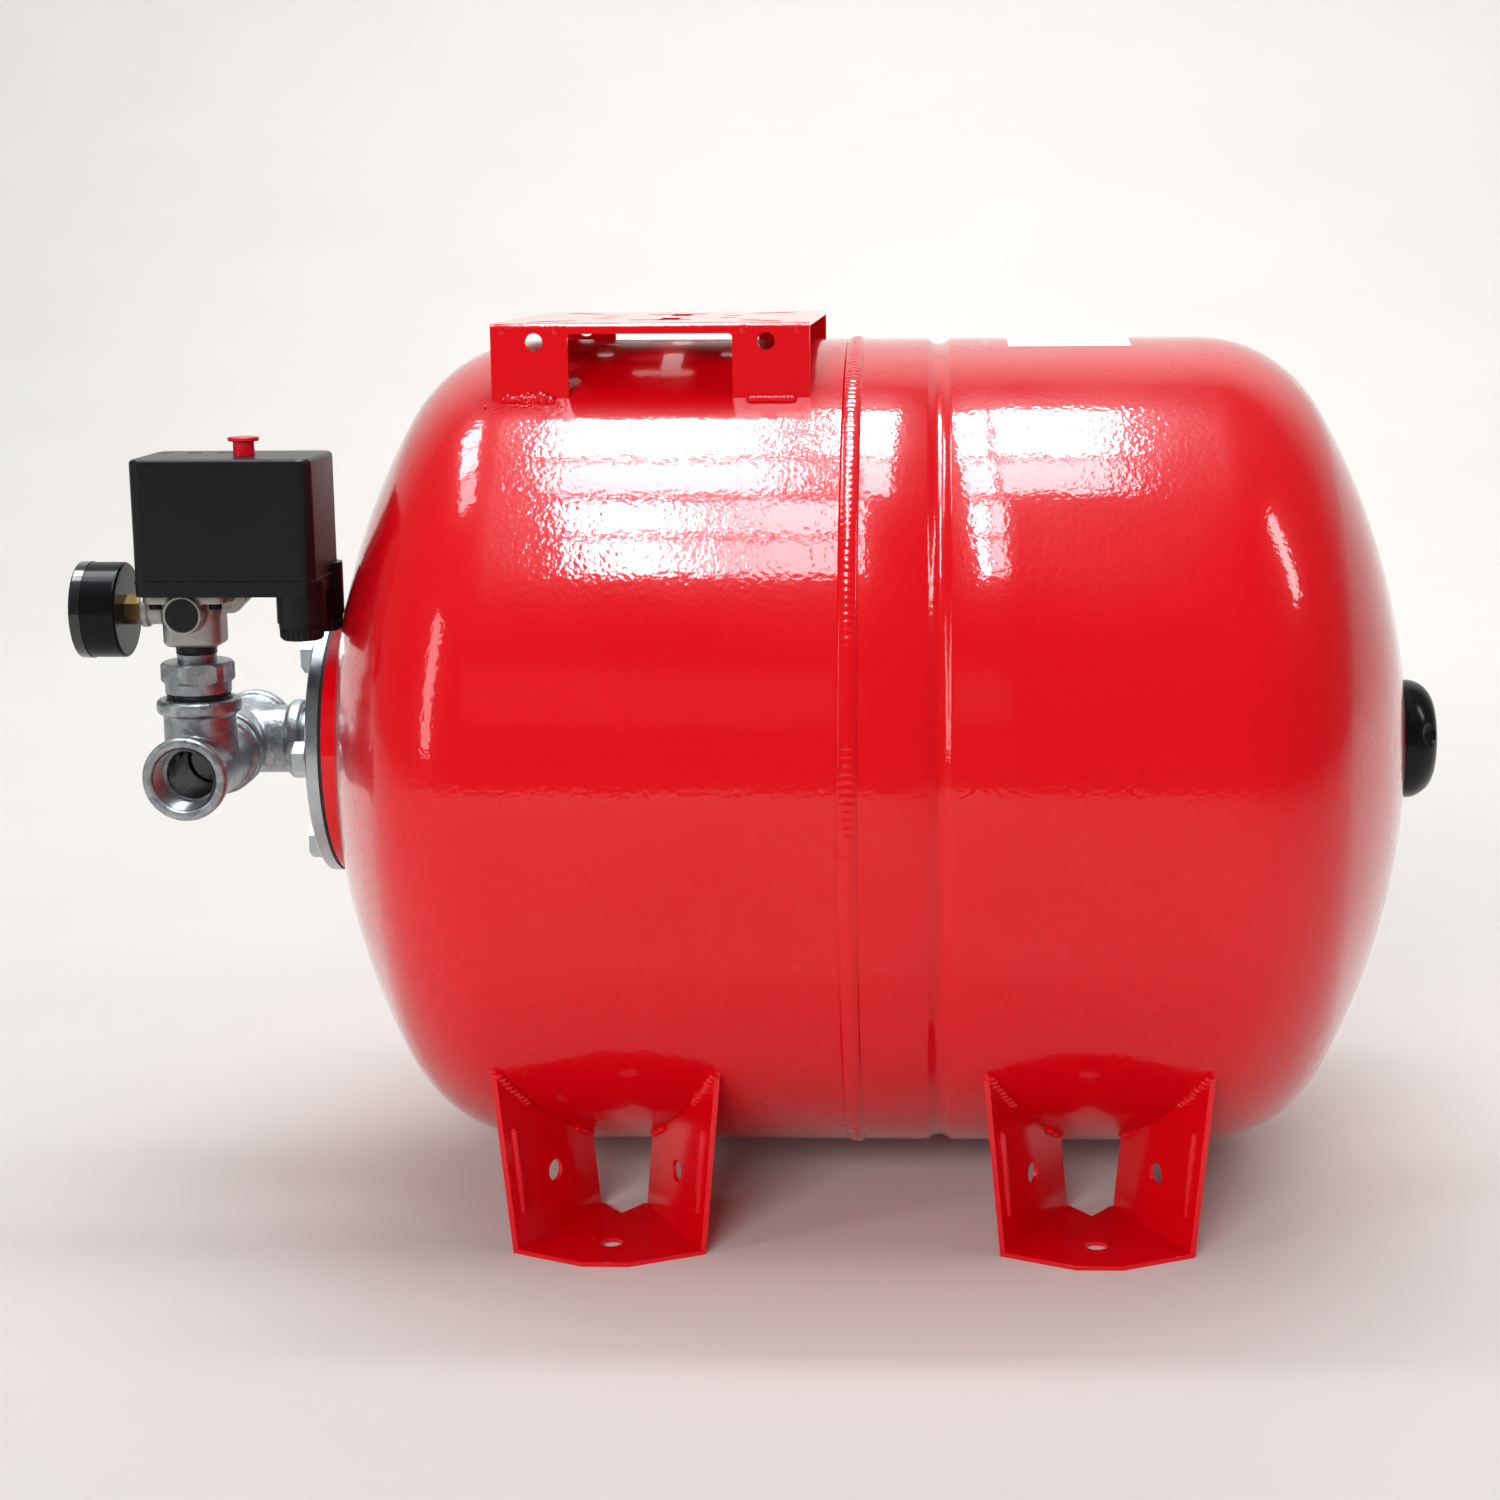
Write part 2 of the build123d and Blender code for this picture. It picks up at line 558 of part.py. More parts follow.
def switch_base():
    """Plastic tray with a locating rim, two gland housings and a hole for the diaphragm."""
    base = switch_prism(0, MANIFOLD_TOP, COVER_BOTTOM)
    base += switch_prism(-COVER_T, COVER_BOTTOM, COVER_BOTTOM + 2.5)
    base -= switch_prism(-COVER_T - 2, MANIFOLD_TOP + 2.5, COVER_BOTTOM + 2.5)
    for (x, y), top in ((FRONT_GLAND, COVER_BOTTOM), (REAR_GLAND, COVER_BOTTOM + 6)):
        housing = bar_z(GLAND_R, 81.5, top, x, y)
        housing = housing - switch_prism(GAP, COVER_BOTTOM, COVER_BOTTOM + 10)
        base += housing + bar_z(GLAND_R - 0.8, 79, 81.5, x, y)
    for x, y in (FRONT_GLAND, REAR_GLAND):
        base -= bar_z(9, 79, COVER_BOTTOM - 1.5, x, y) & switch_prism(3, 79, COVER_BOTTOM)
        base -= bar_z(7, 79, COVER_BOTTOM + 3, x, y) & switch_prism(-5, 79, COVER_BOTTOM + 3)
    base -= bar_z(18.5, MANIFOLD_TOP, MANIFOLD_TOP + 2.5, PIPE_X, TEE_Y)
    for x, y in cover_screw_points():
        base += bar_z(4, MANIFOLD_TOP + 2.5, COVER_BOTTOM + 2, x, y)
        base -= bar_z(1.6, MANIFOLD_TOP, COVER_BOTTOM + 2, x, y)
        base -= bar_z(3, MANIFOLD_TOP, MANIFOLD_TOP + 2.2, x, y)
    for x, y in manifold_screw_points():
        base -= bar_z(2, MANIFOLD_TOP, MANIFOLD_TOP + 2.5, x, y)
    return base


def switch_cover():
    """Plastic hood with a hole for the knob and three slots in its top."""
    cover = switch_prism(0, COVER_BOTTOM, COVER_TOP)
    cover = fillet(cover.faces().sort_by(Axis.Z)[-1].edges(), 2.6)
    cover -= switch_prism(-COVER_T, COVER_BOTTOM, COVER_TOP - COVER_T)
    for x, y in cover_screw_points():
        post = bar_z(3.6, COVER_BOTTOM + 2.6, COVER_TOP - COVER_T, x, y)
        cover += post - bar_z(1.2, COVER_BOTTOM + 2.6, COVER_BOTTOM + 16, x, y)
    cover -= bar_z(KNOB_STEM_R + GAP, COVER_TOP - COVER_T, COVER_TOP, KNOB_X, TEE_Y)
    inside = COVER_TOP - COVER_T
    for x, half in ((-369.0, 3.5), (-354.0, 4.0), (-337.0, 5.0)):
        cover -= block(x - half, x + half, TEE_Y + 12, TEE_Y + 15, inside, COVER_TOP)
    return cover


def cover_screws():
    screws = []
    for x, y in cover_screw_points():
        shank = bar_z(1.2, MANIFOLD_TOP + 2.2, COVER_BOTTOM + 14, x, y)
        screws.append(shank + bar_z(2.8, MANIFOLD_TOP + 0.3, MANIFOLD_TOP + 2.2, x, y))
    return Compound(screws)


def switch_knob():
    """Red push-pull knob with a retaining collar under the hood and a trip rod."""
    disc = bar_z(8.2, KNOB_TOP - 2.2, KNOB_TOP, KNOB_X, TEE_Y)
    disc = fillet(disc.edges().filter_by(GeomType.CIRCLE), 0.6)
    stem = bar_z(KNOB_STEM_R, COVER_TOP - 12, KNOB_TOP - 2.2, KNOB_X, TEE_Y)
    collar = bar_z(7.2, COVER_TOP - COVER_T - 2.3, COVER_TOP - COVER_T - GAP, KNOB_X, TEE_Y)
    rod = bar_z(2.5, LEVER_PIVOT_H + 3 + KNOB_TRAVEL, COVER_TOP - 12, KNOB_X, TEE_Y)
    return disc + stem + collar + rod


def diaphragm():
    return bar_z(DIAPHRAGM_R, MANIFOLD_TOP, MANIFOLD_TOP + 1, PIPE_X, TEE_Y)


def spring_frame():
    """Steel stirrup that clamps the diaphragm and carries the spring's adjusting screw."""
    floor = MANIFOLD_TOP + 2.5
    top = floor + 2
    foot = block(PIPE_X - 19, LEVER_PIVOT_X + 4, TEE_Y - 20, TEE_Y + 20, floor, top)
    foot += bar_z(DIAPHRAGM_R, MANIFOLD_TOP + 1, floor, PIPE_X, TEE_Y)
    foot -= bar_z(13, MANIFOLD_TOP + 1, top, PIPE_X, TEE_Y)
    for side in (-1, 1):
        edge = TEE_Y + side * 19
        foot += block(PIPE_X - 12, PIPE_X + 12, edge - 1, edge + 1, top, STIRRUP_TOP)
        ear = TEE_Y + side * 10
        ear_top = LEVER_PIVOT_H + 4
        foot += block(LEVER_PIVOT_X - 4, LEVER_PIVOT_X + 4, ear - 1, ear + 1, top, ear_top)
    foot += block(PIPE_X - 12, PIPE_X + 12, TEE_Y - 20, TEE_Y + 20, STIRRUP_TOP - 2, STIRRUP_TOP)
    foot -= bar_z(ADJUSTER_R, STIRRUP_TOP - 2, STIRRUP_TOP, PIPE_X, TEE_Y)
    foot -= bar_y(1.5, TEE_Y - 12, TEE_Y + 12, LEVER_PIVOT_X, LEVER_PIVOT_H)
    for x, y in manifold_screw_points():
        foot -= bar_z(2, floor, top, x, y)
    return foot


def switch_piston():
    """Plate that the diaphragm lifts against the spring, with a lug under the lever."""
    plate = bar_z(12.5, MANIFOLD_TOP + 1 + GAP, MANIFOLD_TOP + 6, PIPE_X, TEE_Y)
    lug = block(PIPE_X + 10.4, PIPE_X + 12, TEE_Y - 3, TEE_Y + 3, MANIFOLD_TOP + 6, LEVER_PIVOT_H - 1.1)
    return plate + lug


def main_spring():
    coil_r = 8.6
    wire_r = 1.0
    bottom = MANIFOLD_TOP + 6 + GAP + wire_r
    top = SPRING_TOP - wire_r
    path = Helix(pitch=(top - bottom) / 6, height=top - bottom, radius=coil_r)
    section = Plane(origin=path @ 0, z_dir=path % 0) * Circle(wire_r)
    coil = sweep(section, path=path, is_frenet=True)
    return Pos(PIPE_X, TEE_Y, AXIS_Z + bottom) * coil


def adjusting_screw():
    """Screw with its spring plate; turning it sets the cut-out pressure."""
    plate = bar_z(10.5, SPRING_TOP + GAP, SPRING_TOP + 2, PIPE_X, TEE_Y)
    head = STIRRUP_TOP + 5
    shank = bar_z(ADJUSTER_R, SPRING_TOP + 2, head, PIPE_X, TEE_Y)
    return plate + shank + hexagon_z(10, head, head + 4.5, PIPE_X, TEE_Y)


def lever_pin():
    return bar_y(1.5, TEE_Y - 12, TEE_Y + 12, LEVER_PIVOT_X, LEVER_PIVOT_H)


def switch_lever():
    """Rocking arm with the moving contact bridge at its far end."""
    hub = bar_y(3, TEE_Y - 8.5, TEE_Y + 8.5, LEVER_PIVOT_X, LEVER_PIVOT_H)
    arm = block(PIPE_X + 10.6, KNOB_X + 3, TEE_Y - 4, TEE_Y + 4, LEVER_PIVOT_H - 0.75, LEVER_PIVOT_H + 0.75)
    bridge = block(KNOB_X - 1, KNOB_X + 3, TEE_Y - 15, TEE_Y + 15, LEVER_PIVOT_H - 0.75, LEVER_PIVOT_H + 0.75)
    contacts = bar_z(2, LEVER_PIVOT_H + 0.75, LEVER_PIVOT_H + 2, KNOB_X + 1, TEE_Y - 12)
    contacts += bar_z(2, LEVER_PIVOT_H + 0.75, LEVER_PIVOT_H + 2, KNOB_X + 1, TEE_Y + 12)
    bore = bar_y(1.5 + FIT, TEE_Y - 9, TEE_Y + 9, LEVER_PIVOT_X, LEVER_PIVOT_H)
    return hub + arm + bridge + contacts - bore


def terminal_rows():
    return [TEE_Y - 15 + 10 * step for step in range(4)]


def terminal_block():
    """Moulded block that holds the fixed contacts and the wire screws."""
    back_x = TERMINAL_X + 12.8
    body = block(TERMINAL_X, back_x, TEE_Y - 20, TEE_Y + 20, MANIFOLD_TOP + 2.5, TERMINAL_TOP)
    for y in terminal_rows():
        body -= block(back_x - 3.3, back_x, y - 3.4, y + 3.4, TERMINAL_TOP - 12, TERMINAL_TOP - 4)
        body -= bar_z(1.6, TERMINAL_TOP - 12, TERMINAL_TOP, TERMINAL_SCREW_X, y)
    for side in (-1, 1):
        y = TEE_Y + side * 12
        body -= block(TERMINAL_X, CONTACT_END_X, y - 2.5, y + 2.5, CONTACT_H, CONTACT_H + 1)
    return body


def fixed_contacts():
    contacts = []
    for side in (-1, 1):
        y = TEE_Y + side * 12
        contacts.append(block(KNOB_X - 1.5, CONTACT_END_X, y - 2.5, y + 2.5, CONTACT_H, CONTACT_H + 1))
    return Compound(contacts)


def terminal_screws():
    screws = []
    x = TERMINAL_SCREW_X
    top = TERMINAL_TOP + 2.4
    for y in terminal_rows():
        head = bar_z(3, TERMINAL_TOP, top, x, y)
        head -= block(x - 3.5, x + 3.5, y - 0.4, y + 0.4, top - 1.2, top)
        screws.append(head + bar_z(1.6, TERMINAL_TOP - 11, TERMINAL_TOP, x, y))
    return Compound(screws)


def gland_nut(centre):
    """Ribbed gland nut screwed up into its housing; a cable would pass through it."""
    x, y = centre
    nut = bar_z(11, 72.4, 79, x, y)
    nut = chamfer(nut.edges().filter_by(GeomType.CIRCLE).sort_by(Axis.Z)[0], 0.8)
    return nut + bar_z(9, 79, 86, x, y) - bar_z(GLAND_BORE_R, 72.4, 86, x, y)


def gland_seal(centre):
    x, y = centre
    return bar_z(9, 86, 93, x, y) - bar_z(GLAND_BORE_R, 86, 93, x, y)


# ------------------------------------------------------------------ feet and bracket

def foot_plan(inset, height, front_y, narrow_y):
    """Plan of the funnel between its side walls at a height above the foot's underside."""
    corners = []
    for y in (front_y, narrow_y):
        half = FOOT_NARROW_HALF + (y - FOOT_NARROW_Y) * FOOT_SPREAD + FOOT_LEAN * height - inset
        corners += [(half, -y), (-half, -y)]
    order = (corners[0], corners[1], corners[3], corners[2], corners[0])
    return Pos(0, 0, height) * make_face(Polyline(*order))


def foot_space(inset, from_h, to_h, front_y, narrow_y):
    ends = [foot_plan(inset, from_h, front_y, narrow_y), foot_plan(inset, to_h, front_y, narrow_y)]
    return loft(ends, ruled=True)


def foot_sheet():
    """One foot before trimming to the tank: bottom plate and two side walls, open at both ends."""
    reach = 118.0
    funnel = foot_space(0, 0, reach, FOOT_FRONT_Y, FOOT_NARROW_Y)
    inset = FOOT_T * math.hypot(1, FOOT_SPREAD)
    funnel -= foot_space(inset, FOOT_T, reach + 1, FOOT_FRONT_Y + 20, FOOT_NARROW_Y - 12)
    nose = FOOT_FRONT_Y + FOOT_NOSE
    front = [(FOOT_FRONT_HALF, -FOOT_FRONT_Y), (FOOT_NOSE_HALF, -nose), (-FOOT_NOSE_HALF, -nose)]
    front += [(-FOOT_FRONT_HALF, -FOOT_FRONT_Y), (FOOT_FRONT_HALF, -FOOT_FRONT_Y)]
    funnel += extrude(make_face(Polyline(*front)), FOOT_T)
    notch_y = FOOT_NARROW_Y + FOOT_NOTCH
    notch_half = FOOT_NARROW_HALF - 3.5
    notch = [(notch_half, -FOOT_NARROW_Y + 1), (0, -notch_y), (-notch_half, -FOOT_NARROW_Y + 1)]
    funnel -= extrude(make_face(Polyline(*notch, notch[0])), FOOT_T)
    funnel -= Pos(0, -FOOT_HOLE_Y, 0) * Cylinder(FOOT_HOLE_R, 20)
    half = FOOT_NARROW_HALF + (WALL_HOLE_Y - FOOT_NARROW_Y) * FOOT_SPREAD + FOOT_LEAN * WALL_HOLE_H
    for side in (-1, 1):
        turn = Rot(0, 90, 0)
        swing = Rot(0, 0, side * math.degrees(math.atan(FOOT_SPREAD)))
        funnel -= Pos(side * half, -WALL_HOLE_Y, WALL_HOLE_H) * swing * turn * Cylinder(FOOT_HOLE_R, 16)
    return funnel


def foot(x_sign, y_sign, tank):
    sheet = foot_sheet()
    if y_sign > 0:
        sheet = Rot(0, 0, 180) * sheet
    return Pos(x_sign * FOOT_X, 0, 0) * sheet - tank


def foot_weld_points():
    """Where weld runs start: the front top corner and the narrow end of each side wall."""
    for y, half in ((FOOT_FRONT_Y - 4, 57.0), (FOOT_NARROW_Y + 5, 20.5)):
        height = AXIS_Z - math.sqrt(TANK_R**2 - y**2)
        for side in (-1, 1):
            yield side * half, y, height


def foot_welds(solids):
    blobs = []
    for x_sign in (-1, 1):
        for y_sign in (-1, 1):
            for x, y, z in foot_weld_points():
                blob = Pos(x_sign * FOOT_X + x, y_sign * y, z - 1) * Sphere(6.0)
                for solid in solids:
                    blob -= solid
                blobs += [piece for piece in blob.solids() if piece.volume > 5]
    return Compound(blobs)


def pad_slot_points():
    for sx in (-1, 1):
        for sy in (-1, 1):
            yield sx * PAD_SLOT_SPACING_X / 2, sy * PAD_SLOT_SPACING_Y / 2, 45 * sx * sy


def top_bracket(tank):
    """Inverted U of sheet with slots in its top and a leg at each end of both flanges."""
    height = 60.0
    outer = Box(BRACKET_L, BRACKET_W, height, align=(Align.CENTER, Align.CENTER, Align.MAX))
    outer = fillet(outer.faces().sort_by(Axis.Z)[-1].edges().filter_by(Axis.X), BRACKET_BEND_R)
    inner = Pos(0, 0, -BRACKET_T) * Box(
        BRACKET_L, BRACKET_W - 2 * BRACKET_T, height, align=(Align.CENTER, Align.CENTER, Align.MAX))
    inner = fillet(inner.faces().sort_by(Axis.Z)[-1].edges().filter_by(Axis.X), BRACKET_BEND_R - BRACKET_T)
    sheet = outer - inner
    cut = Pos(0, 0, -BRACKET_BAND) * Box(
        BRACKET_L - 2 * BRACKET_LEG_L, BRACKET_W + 2, height, align=(Align.CENTER, Align.CENTER, Align.MAX))
    cut = fillet(cut.faces().sort_by(Axis.Z)[-1].edges().filter_by(Axis.Y), 2)
    sheet -= cut
    for side in (-1, 1):
        hole = Rot(90, 0, 0) * Cylinder(BRACKET_HOLE_R, BRACKET_W + 10)
        sheet -= Pos(side * BRACKET_HOLE_SPACING / 2, 0, -BRACKET_HOLE_DROP) * hole
    for x, y, turn in pad_slot_points():
        slot = extrude(SlotOverall(PAD_SLOT_L, PAD_SLOT_W), BRACKET_T)
        sheet -= Pos(x, y, -BRACKET_T) * Rot(0, 0, turn) * slot
    for side in (-1, 1):
        sheet -= Pos(0, side * 52, -BRACKET_T) * extrude(SlotOverall(34, 10), BRACKET_T)
        sheet -= Pos(4, side * 33, -BRACKET_T) * extrude(Rectangle(11, 34), BRACKET_T)
        sheet -= Pos(side * 34, 20, -BRACKET_T) * extrude(Circle(5), BRACKET_T)
        sheet -= Pos(side * 34, -20, -BRACKET_T) * extrude(Circle(5), BRACKET_T)
    return Pos(BRACKET_X, 0, BRACKET_TOP) * sheet - tank


def bracket_welds(solids):
    """A short run of weld along the foot of each bracket leg."""
    leg_y = BRACKET_W / 2 - BRACKET_T / 2
    leg_z = math.sqrt(TANK_R**2 - leg_y**2)
    runs = []
    for x_side in (-1, 1):
        for y_side in (-1, 1):
            x = BRACKET_X + x_side * (BRACKET_L / 2 - BRACKET_LEG_L / 2)
            run = bar_x(3.2, x - 13, x + 13, y_side * (leg_y + 1.2), leg_z - 0.6)
            for solid in solids:
                run -= solid
            runs += [piece for piece in run.solids() if piece.volume > 5]
    return Compound(runs)


def blank_label():
    """Plain paper label stuck over the top of the right half."""
    start = math.radians(90 - LABEL_REAR_ANGLE)
    end = math.radians(90 + LABEL_FRONT_ANGLE)
    middle = (start + end) / 2
    outer_r = TANK_R + LABEL_T
    curve = [ThreePointArc(*[polar((0, 0), outer_r, a) for a in (start, middle, end)])]
    curve.append(ThreePointArc(*[polar((0, 0), TANK_R, a) for a in (start, middle, end)]))
    for angle in (start, end):
        curve.append(Line(polar((0, 0), TANK_R, angle), polar((0, 0), outer_r, angle)))
    strip = extrude(make_face(curve), LABEL_L)
    return Pos(LABEL_X, 0, AXIS_Z) * (Plane.YZ * strip)


# ------------------------------------------------------------------ air valve end

def valve_boss():
    """Steel boss welded in the middle of the right end."""
    crown_x = RIGHT_L - CROWN_R + math.sqrt(CROWN_R**2 - VALVE_BOSS_R**2)
    boss = bar_x(VALVE_BOSS_R, crown_x - 8, RIGHT_L + 4)
    return boss - bar_x(VALVE_STEM_R, crown_x - 8, RIGHT_L + 4)


def valve_stem():
    stem = bar_x(VALVE_STEM_R, RIGHT_L - 9, RIGHT_L + 4) + bar_x(6.5, RIGHT_L + 4, RIGHT_L + 6)
    stem += bar_x(3.9, RIGHT_L + 6, RIGHT_L + 14)
    return stem - bar_x(VALVE_BORE_R, RIGHT_L - 9, RIGHT_L + 14)


def valve_core():
    """Threaded core that guides the pin and holds the spring."""
    core = bar_x(VALVE_BORE_R, RIGHT_L + 4, RIGHT_L + 12)
    return core - bar_x(0.6 + FIT, RIGHT_L + 4, RIGHT_L + 12)


def valve_pin():
    """Spring-loaded pin; pushing it in lets air through."""
    rod = bar_x(0.6, RIGHT_L - 4, RIGHT_L + 13.6)
    return rod + bar_x(1.6, RIGHT_L + 2, RIGHT_L + 4 - GAP)


def valve_cap():
    """Black plastic dome with finger flutes that turns on the boss."""
    rim_x = CAP_RIM_X
    dome = bar_x(CAP_R, rim_x + 2.2, CAP_TOP_X)
    dome = fillet(dome.edges().filter_by(GeomType.CIRCLE).sort_by(Axis.X)[-1], 15)
    dome += bar_x(CAP_R, rim_x, rim_x + 2.2)
    hollow = bar_x(CAP_R - CAP_T, rim_x - 1, CAP_TOP_X - CAP_T)
    hollow = fillet(hollow.edges().filter_by(GeomType.CIRCLE).sort_by(Axis.X)[-1], 13)
    dome -= hollow
    skirt = bar_x(VALVE_BOSS_R + 3, rim_x + 2, CAP_TOP_X - CAP_T)
    skirt -= bar_x(VALVE_BOSS_R + FIT, rim_x, CAP_TOP_X)
    dome += skirt
    for step in range(4):
        angle = math.radians(75 + 90 * step)
        y, z = polar((0, 0), CAP_R + 5, angle)
        flute = Pos(CAP_TOP_X + 1, y, AXIS_Z + z) * Sphere(13)
        shell_back = Pos(CAP_TOP_X + 1, y, AXIS_Z + z) * Sphere(13 + CAP_T)
        dome += (shell_back & filled_cap(rim_x)) - flute
        dome -= flute
    return dome


def filled_cap(rim_x):
    solid = bar_x(CAP_R, rim_x + 2.2, CAP_TOP_X)
    return fillet(solid.edges().filter_by(GeomType.CIRCLE).sort_by(Axis.X)[-1], 15)


# ------------------------------------------------------------------ write every sub-part

tank_space = filled_half(RIGHT_L) + mirror(filled_half(LEFT_L), Plane.YZ)
left_half = mirror(shell_half(LEFT_L, OPENING_R, False), Plane.YZ)
right_half = shell_half(RIGHT_L, VALVE_BOSS_R, True)
feet = {
    "front_left_foot": foot(-1, -1, tank_space),
    "front_right_foot": foot(1, -1, tank_space),
    "rear_left_foot": foot(-1, 1, tank_space),
    "rear_right_foot": foot(1, 1, tank_space),
}
bracket = top_bracket(tank_space)

nodes = {
    "shell_flange_half": left_half,
    "shell_valve_half": right_half,
    "seam_weld": seam_weld(),
    "neck_ring": neck_ring(tank_space),
    "bladder": bladder(),
    "counter_flange": counter_flange(),
    "flange_bolts": flange_bolts(),
    "flange_washers": flange_washers(),
    "flange_tee": flange_tee(),
    "switch_tee": switch_tee(),
    "tee_nipple": tee_nipple(),
    "reducing_bushing": reducing_bushing(),
    "switch_nipple": switch_nipple(),
    "port_manifold": manifold(),
    "manifold_screws": manifold_screws(),
    "port_plugs": port_plugs(),
    "gauge_case": gauge_case(),
    "gauge_bezel": gauge_bezel(),
    "gauge_lens": gauge_lens(),
    "gauge_dial": gauge_dial(),
    "gauge_socket": gauge_socket(),
    "gauge_movement": gauge_movement(),
    "bourdon_tube": bourdon_tube(),
    "gauge_pointer": gauge_pointer(),
    "gauge_sector": gauge_sector(),
    "switch_base": switch_base(),
    "switch_cover": switch_cover(),
    "cover_screws": cover_screws(),
    "switch_knob": switch_knob(),
    "diaphragm": diaphragm(),
    "spring_frame": spring_frame(),
    "switch_piston": switch_piston(),
    "main_spring": main_spring(),
    "adjusting_screw": adjusting_screw(),
    "lever_pin": lever_pin(),
    "switch_lever": switch_lever(),
    "terminal_block": terminal_block(),
    "fixed_contacts": fixed_contacts(),
    "terminal_screws": terminal_screws(),
    "front_gland_nut": gland_nut(FRONT_GLAND),
    "front_gland_seal": gland_seal(FRONT_GLAND),
    "rear_gland_nut": gland_nut(REAR_GLAND),
    "rear_gland_seal": gland_seal(REAR_GLAND),
    "top_bracket": bracket,
    "bracket_welds": bracket_welds([tank_space, bracket]),
    "foot_welds": foot_welds([tank_space] + list(feet.values())),
    "blank_label": blank_label(),
    "valve_boss": valve_boss(),
    "valve_stem": valve_stem(),
    "valve_core": valve_core(),
    "valve_pin": valve_pin(),
    "valve_cap": valve_cap(),
}
nodes.update(feet)

for name, shape in nodes.items():
    export_step(shape, "parts/" + name + ".step")
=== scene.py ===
import bmesh
import bpy
import math
from mathutils import Matrix, Vector, noise


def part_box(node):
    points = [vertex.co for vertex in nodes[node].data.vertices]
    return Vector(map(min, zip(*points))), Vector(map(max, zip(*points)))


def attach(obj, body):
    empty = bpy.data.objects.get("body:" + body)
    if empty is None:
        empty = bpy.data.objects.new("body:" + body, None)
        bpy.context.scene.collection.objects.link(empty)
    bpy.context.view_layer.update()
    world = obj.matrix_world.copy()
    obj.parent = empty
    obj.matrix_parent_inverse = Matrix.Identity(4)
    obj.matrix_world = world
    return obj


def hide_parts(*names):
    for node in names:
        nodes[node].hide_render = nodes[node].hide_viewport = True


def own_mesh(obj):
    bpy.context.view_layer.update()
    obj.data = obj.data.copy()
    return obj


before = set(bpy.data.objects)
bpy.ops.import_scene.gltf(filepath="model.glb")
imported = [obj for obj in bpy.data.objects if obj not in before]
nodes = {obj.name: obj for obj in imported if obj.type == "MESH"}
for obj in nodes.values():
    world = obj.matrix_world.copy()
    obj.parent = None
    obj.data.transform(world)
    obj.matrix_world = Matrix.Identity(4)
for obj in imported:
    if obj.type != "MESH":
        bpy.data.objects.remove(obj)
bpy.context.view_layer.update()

# ---------------------------------------------------------------- camera
# A normal-to-long lens half a metre above the floor and about 1.5 m in front of the tank's axis,
# looking slightly down on it.
camera_data = bpy.data.cameras.new("camera")
camera_data.lens = 62.65
camera_data.sensor_width = 36.0
camera_data.shift_x = -0.0594
camera_data.shift_y = -0.0087
camera = bpy.data.objects.new("camera", camera_data)
bpy.context.scene.collection.objects.link(camera)
camera.matrix_world = (
    Matrix.Translation((0.0423, -1.458, 0.5196))
    @ Matrix.Rotation(0.03703, 4, "Z")
    @ Matrix.Rotation(math.pi / 2 - 0.18845, 4, "X")
    @ Matrix.Rotation(-0.00699, 4, "Z")
)
bpy.context.scene.camera = camera
# plain sRGB, so that the enamel keeps its full red
bpy.context.scene.view_settings.view_transform = "Standard"

# ---------------------------------------------------------------- floor and light
# A pale studio sweep, plain and matt: a floor that curves up into a back wall.  Rows of roof
# windows, as in a packing hall, give only the reflections.  Soft fills that aren't mirrored in
# the gloss light the object itself, and two tall panels draw the streaks on its ends.


def linear(hex_colour):
    """sRGB hex colour as linear red, green, blue and 1."""
    channels = [int(hex_colour[i:i + 2], 16) / 255 for i in (1, 3, 5)]
    return [c / 12.92 if c <= 0.04045 else ((c + 0.055) / 1.055) ** 2.4 for c in channels] + [1.0]


def add(tree, kind, inputs=None, **settings):
    """Add a node, set its properties and its sockets, and link the sockets given as outputs."""
    made = tree.nodes.new(kind)
    for name, value in settings.items():
        setattr(made, name, value)
    for name, value in (inputs or {}).items():
        if isinstance(value, bpy.types.NodeSocket):
            tree.links.new(value, made.inputs[name])
        else:
            made.inputs[name].default_value = value
    return made


def new_material(name):
    """A material with only its output and a Principled surface, and the surface and tree."""
    material = bpy.data.materials.new(name)
    material.use_nodes = True
    tree = material.node_tree
    tree.nodes.clear()
    surface = add(tree, "ShaderNodeBsdfPrincipled")
    output = add(tree, "ShaderNodeOutputMaterial")
    tree.links.new(surface.outputs["BSDF"], output.inputs["Surface"])
    return material, tree, surface


def keep_mesh(name, mesh_builder, smooth=True):
    """Turn a bmesh into an object at the origin, with smooth faces unless told otherwise."""
    if smooth:
        for face in mesh_builder.faces:
            face.smooth = True
    mesh = bpy.data.meshes.new(name)
    mesh_builder.to_mesh(mesh)
    mesh_builder.free()
    piece = bpy.data.objects.new(name, mesh)
    bpy.context.scene.collection.objects.link(piece)
    return piece


backdrop_white, tree, surface = new_material("matt_white_paper_sweep")
fibre = add(tree, "ShaderNodeTexNoise", {"Scale": 40.0, "Detail": 3.0})
shade = add(
    tree, "ShaderNodeMix",
    {"Factor": fibre.outputs["Fac"], "A": linear("#D6D4D1"), "B": linear("#DCDAD7")},
    data_type="RGBA")
tree.links.new(shade.outputs["Result"], surface.inputs["Base Color"])
surface.inputs["Roughness"].default_value = 0.85

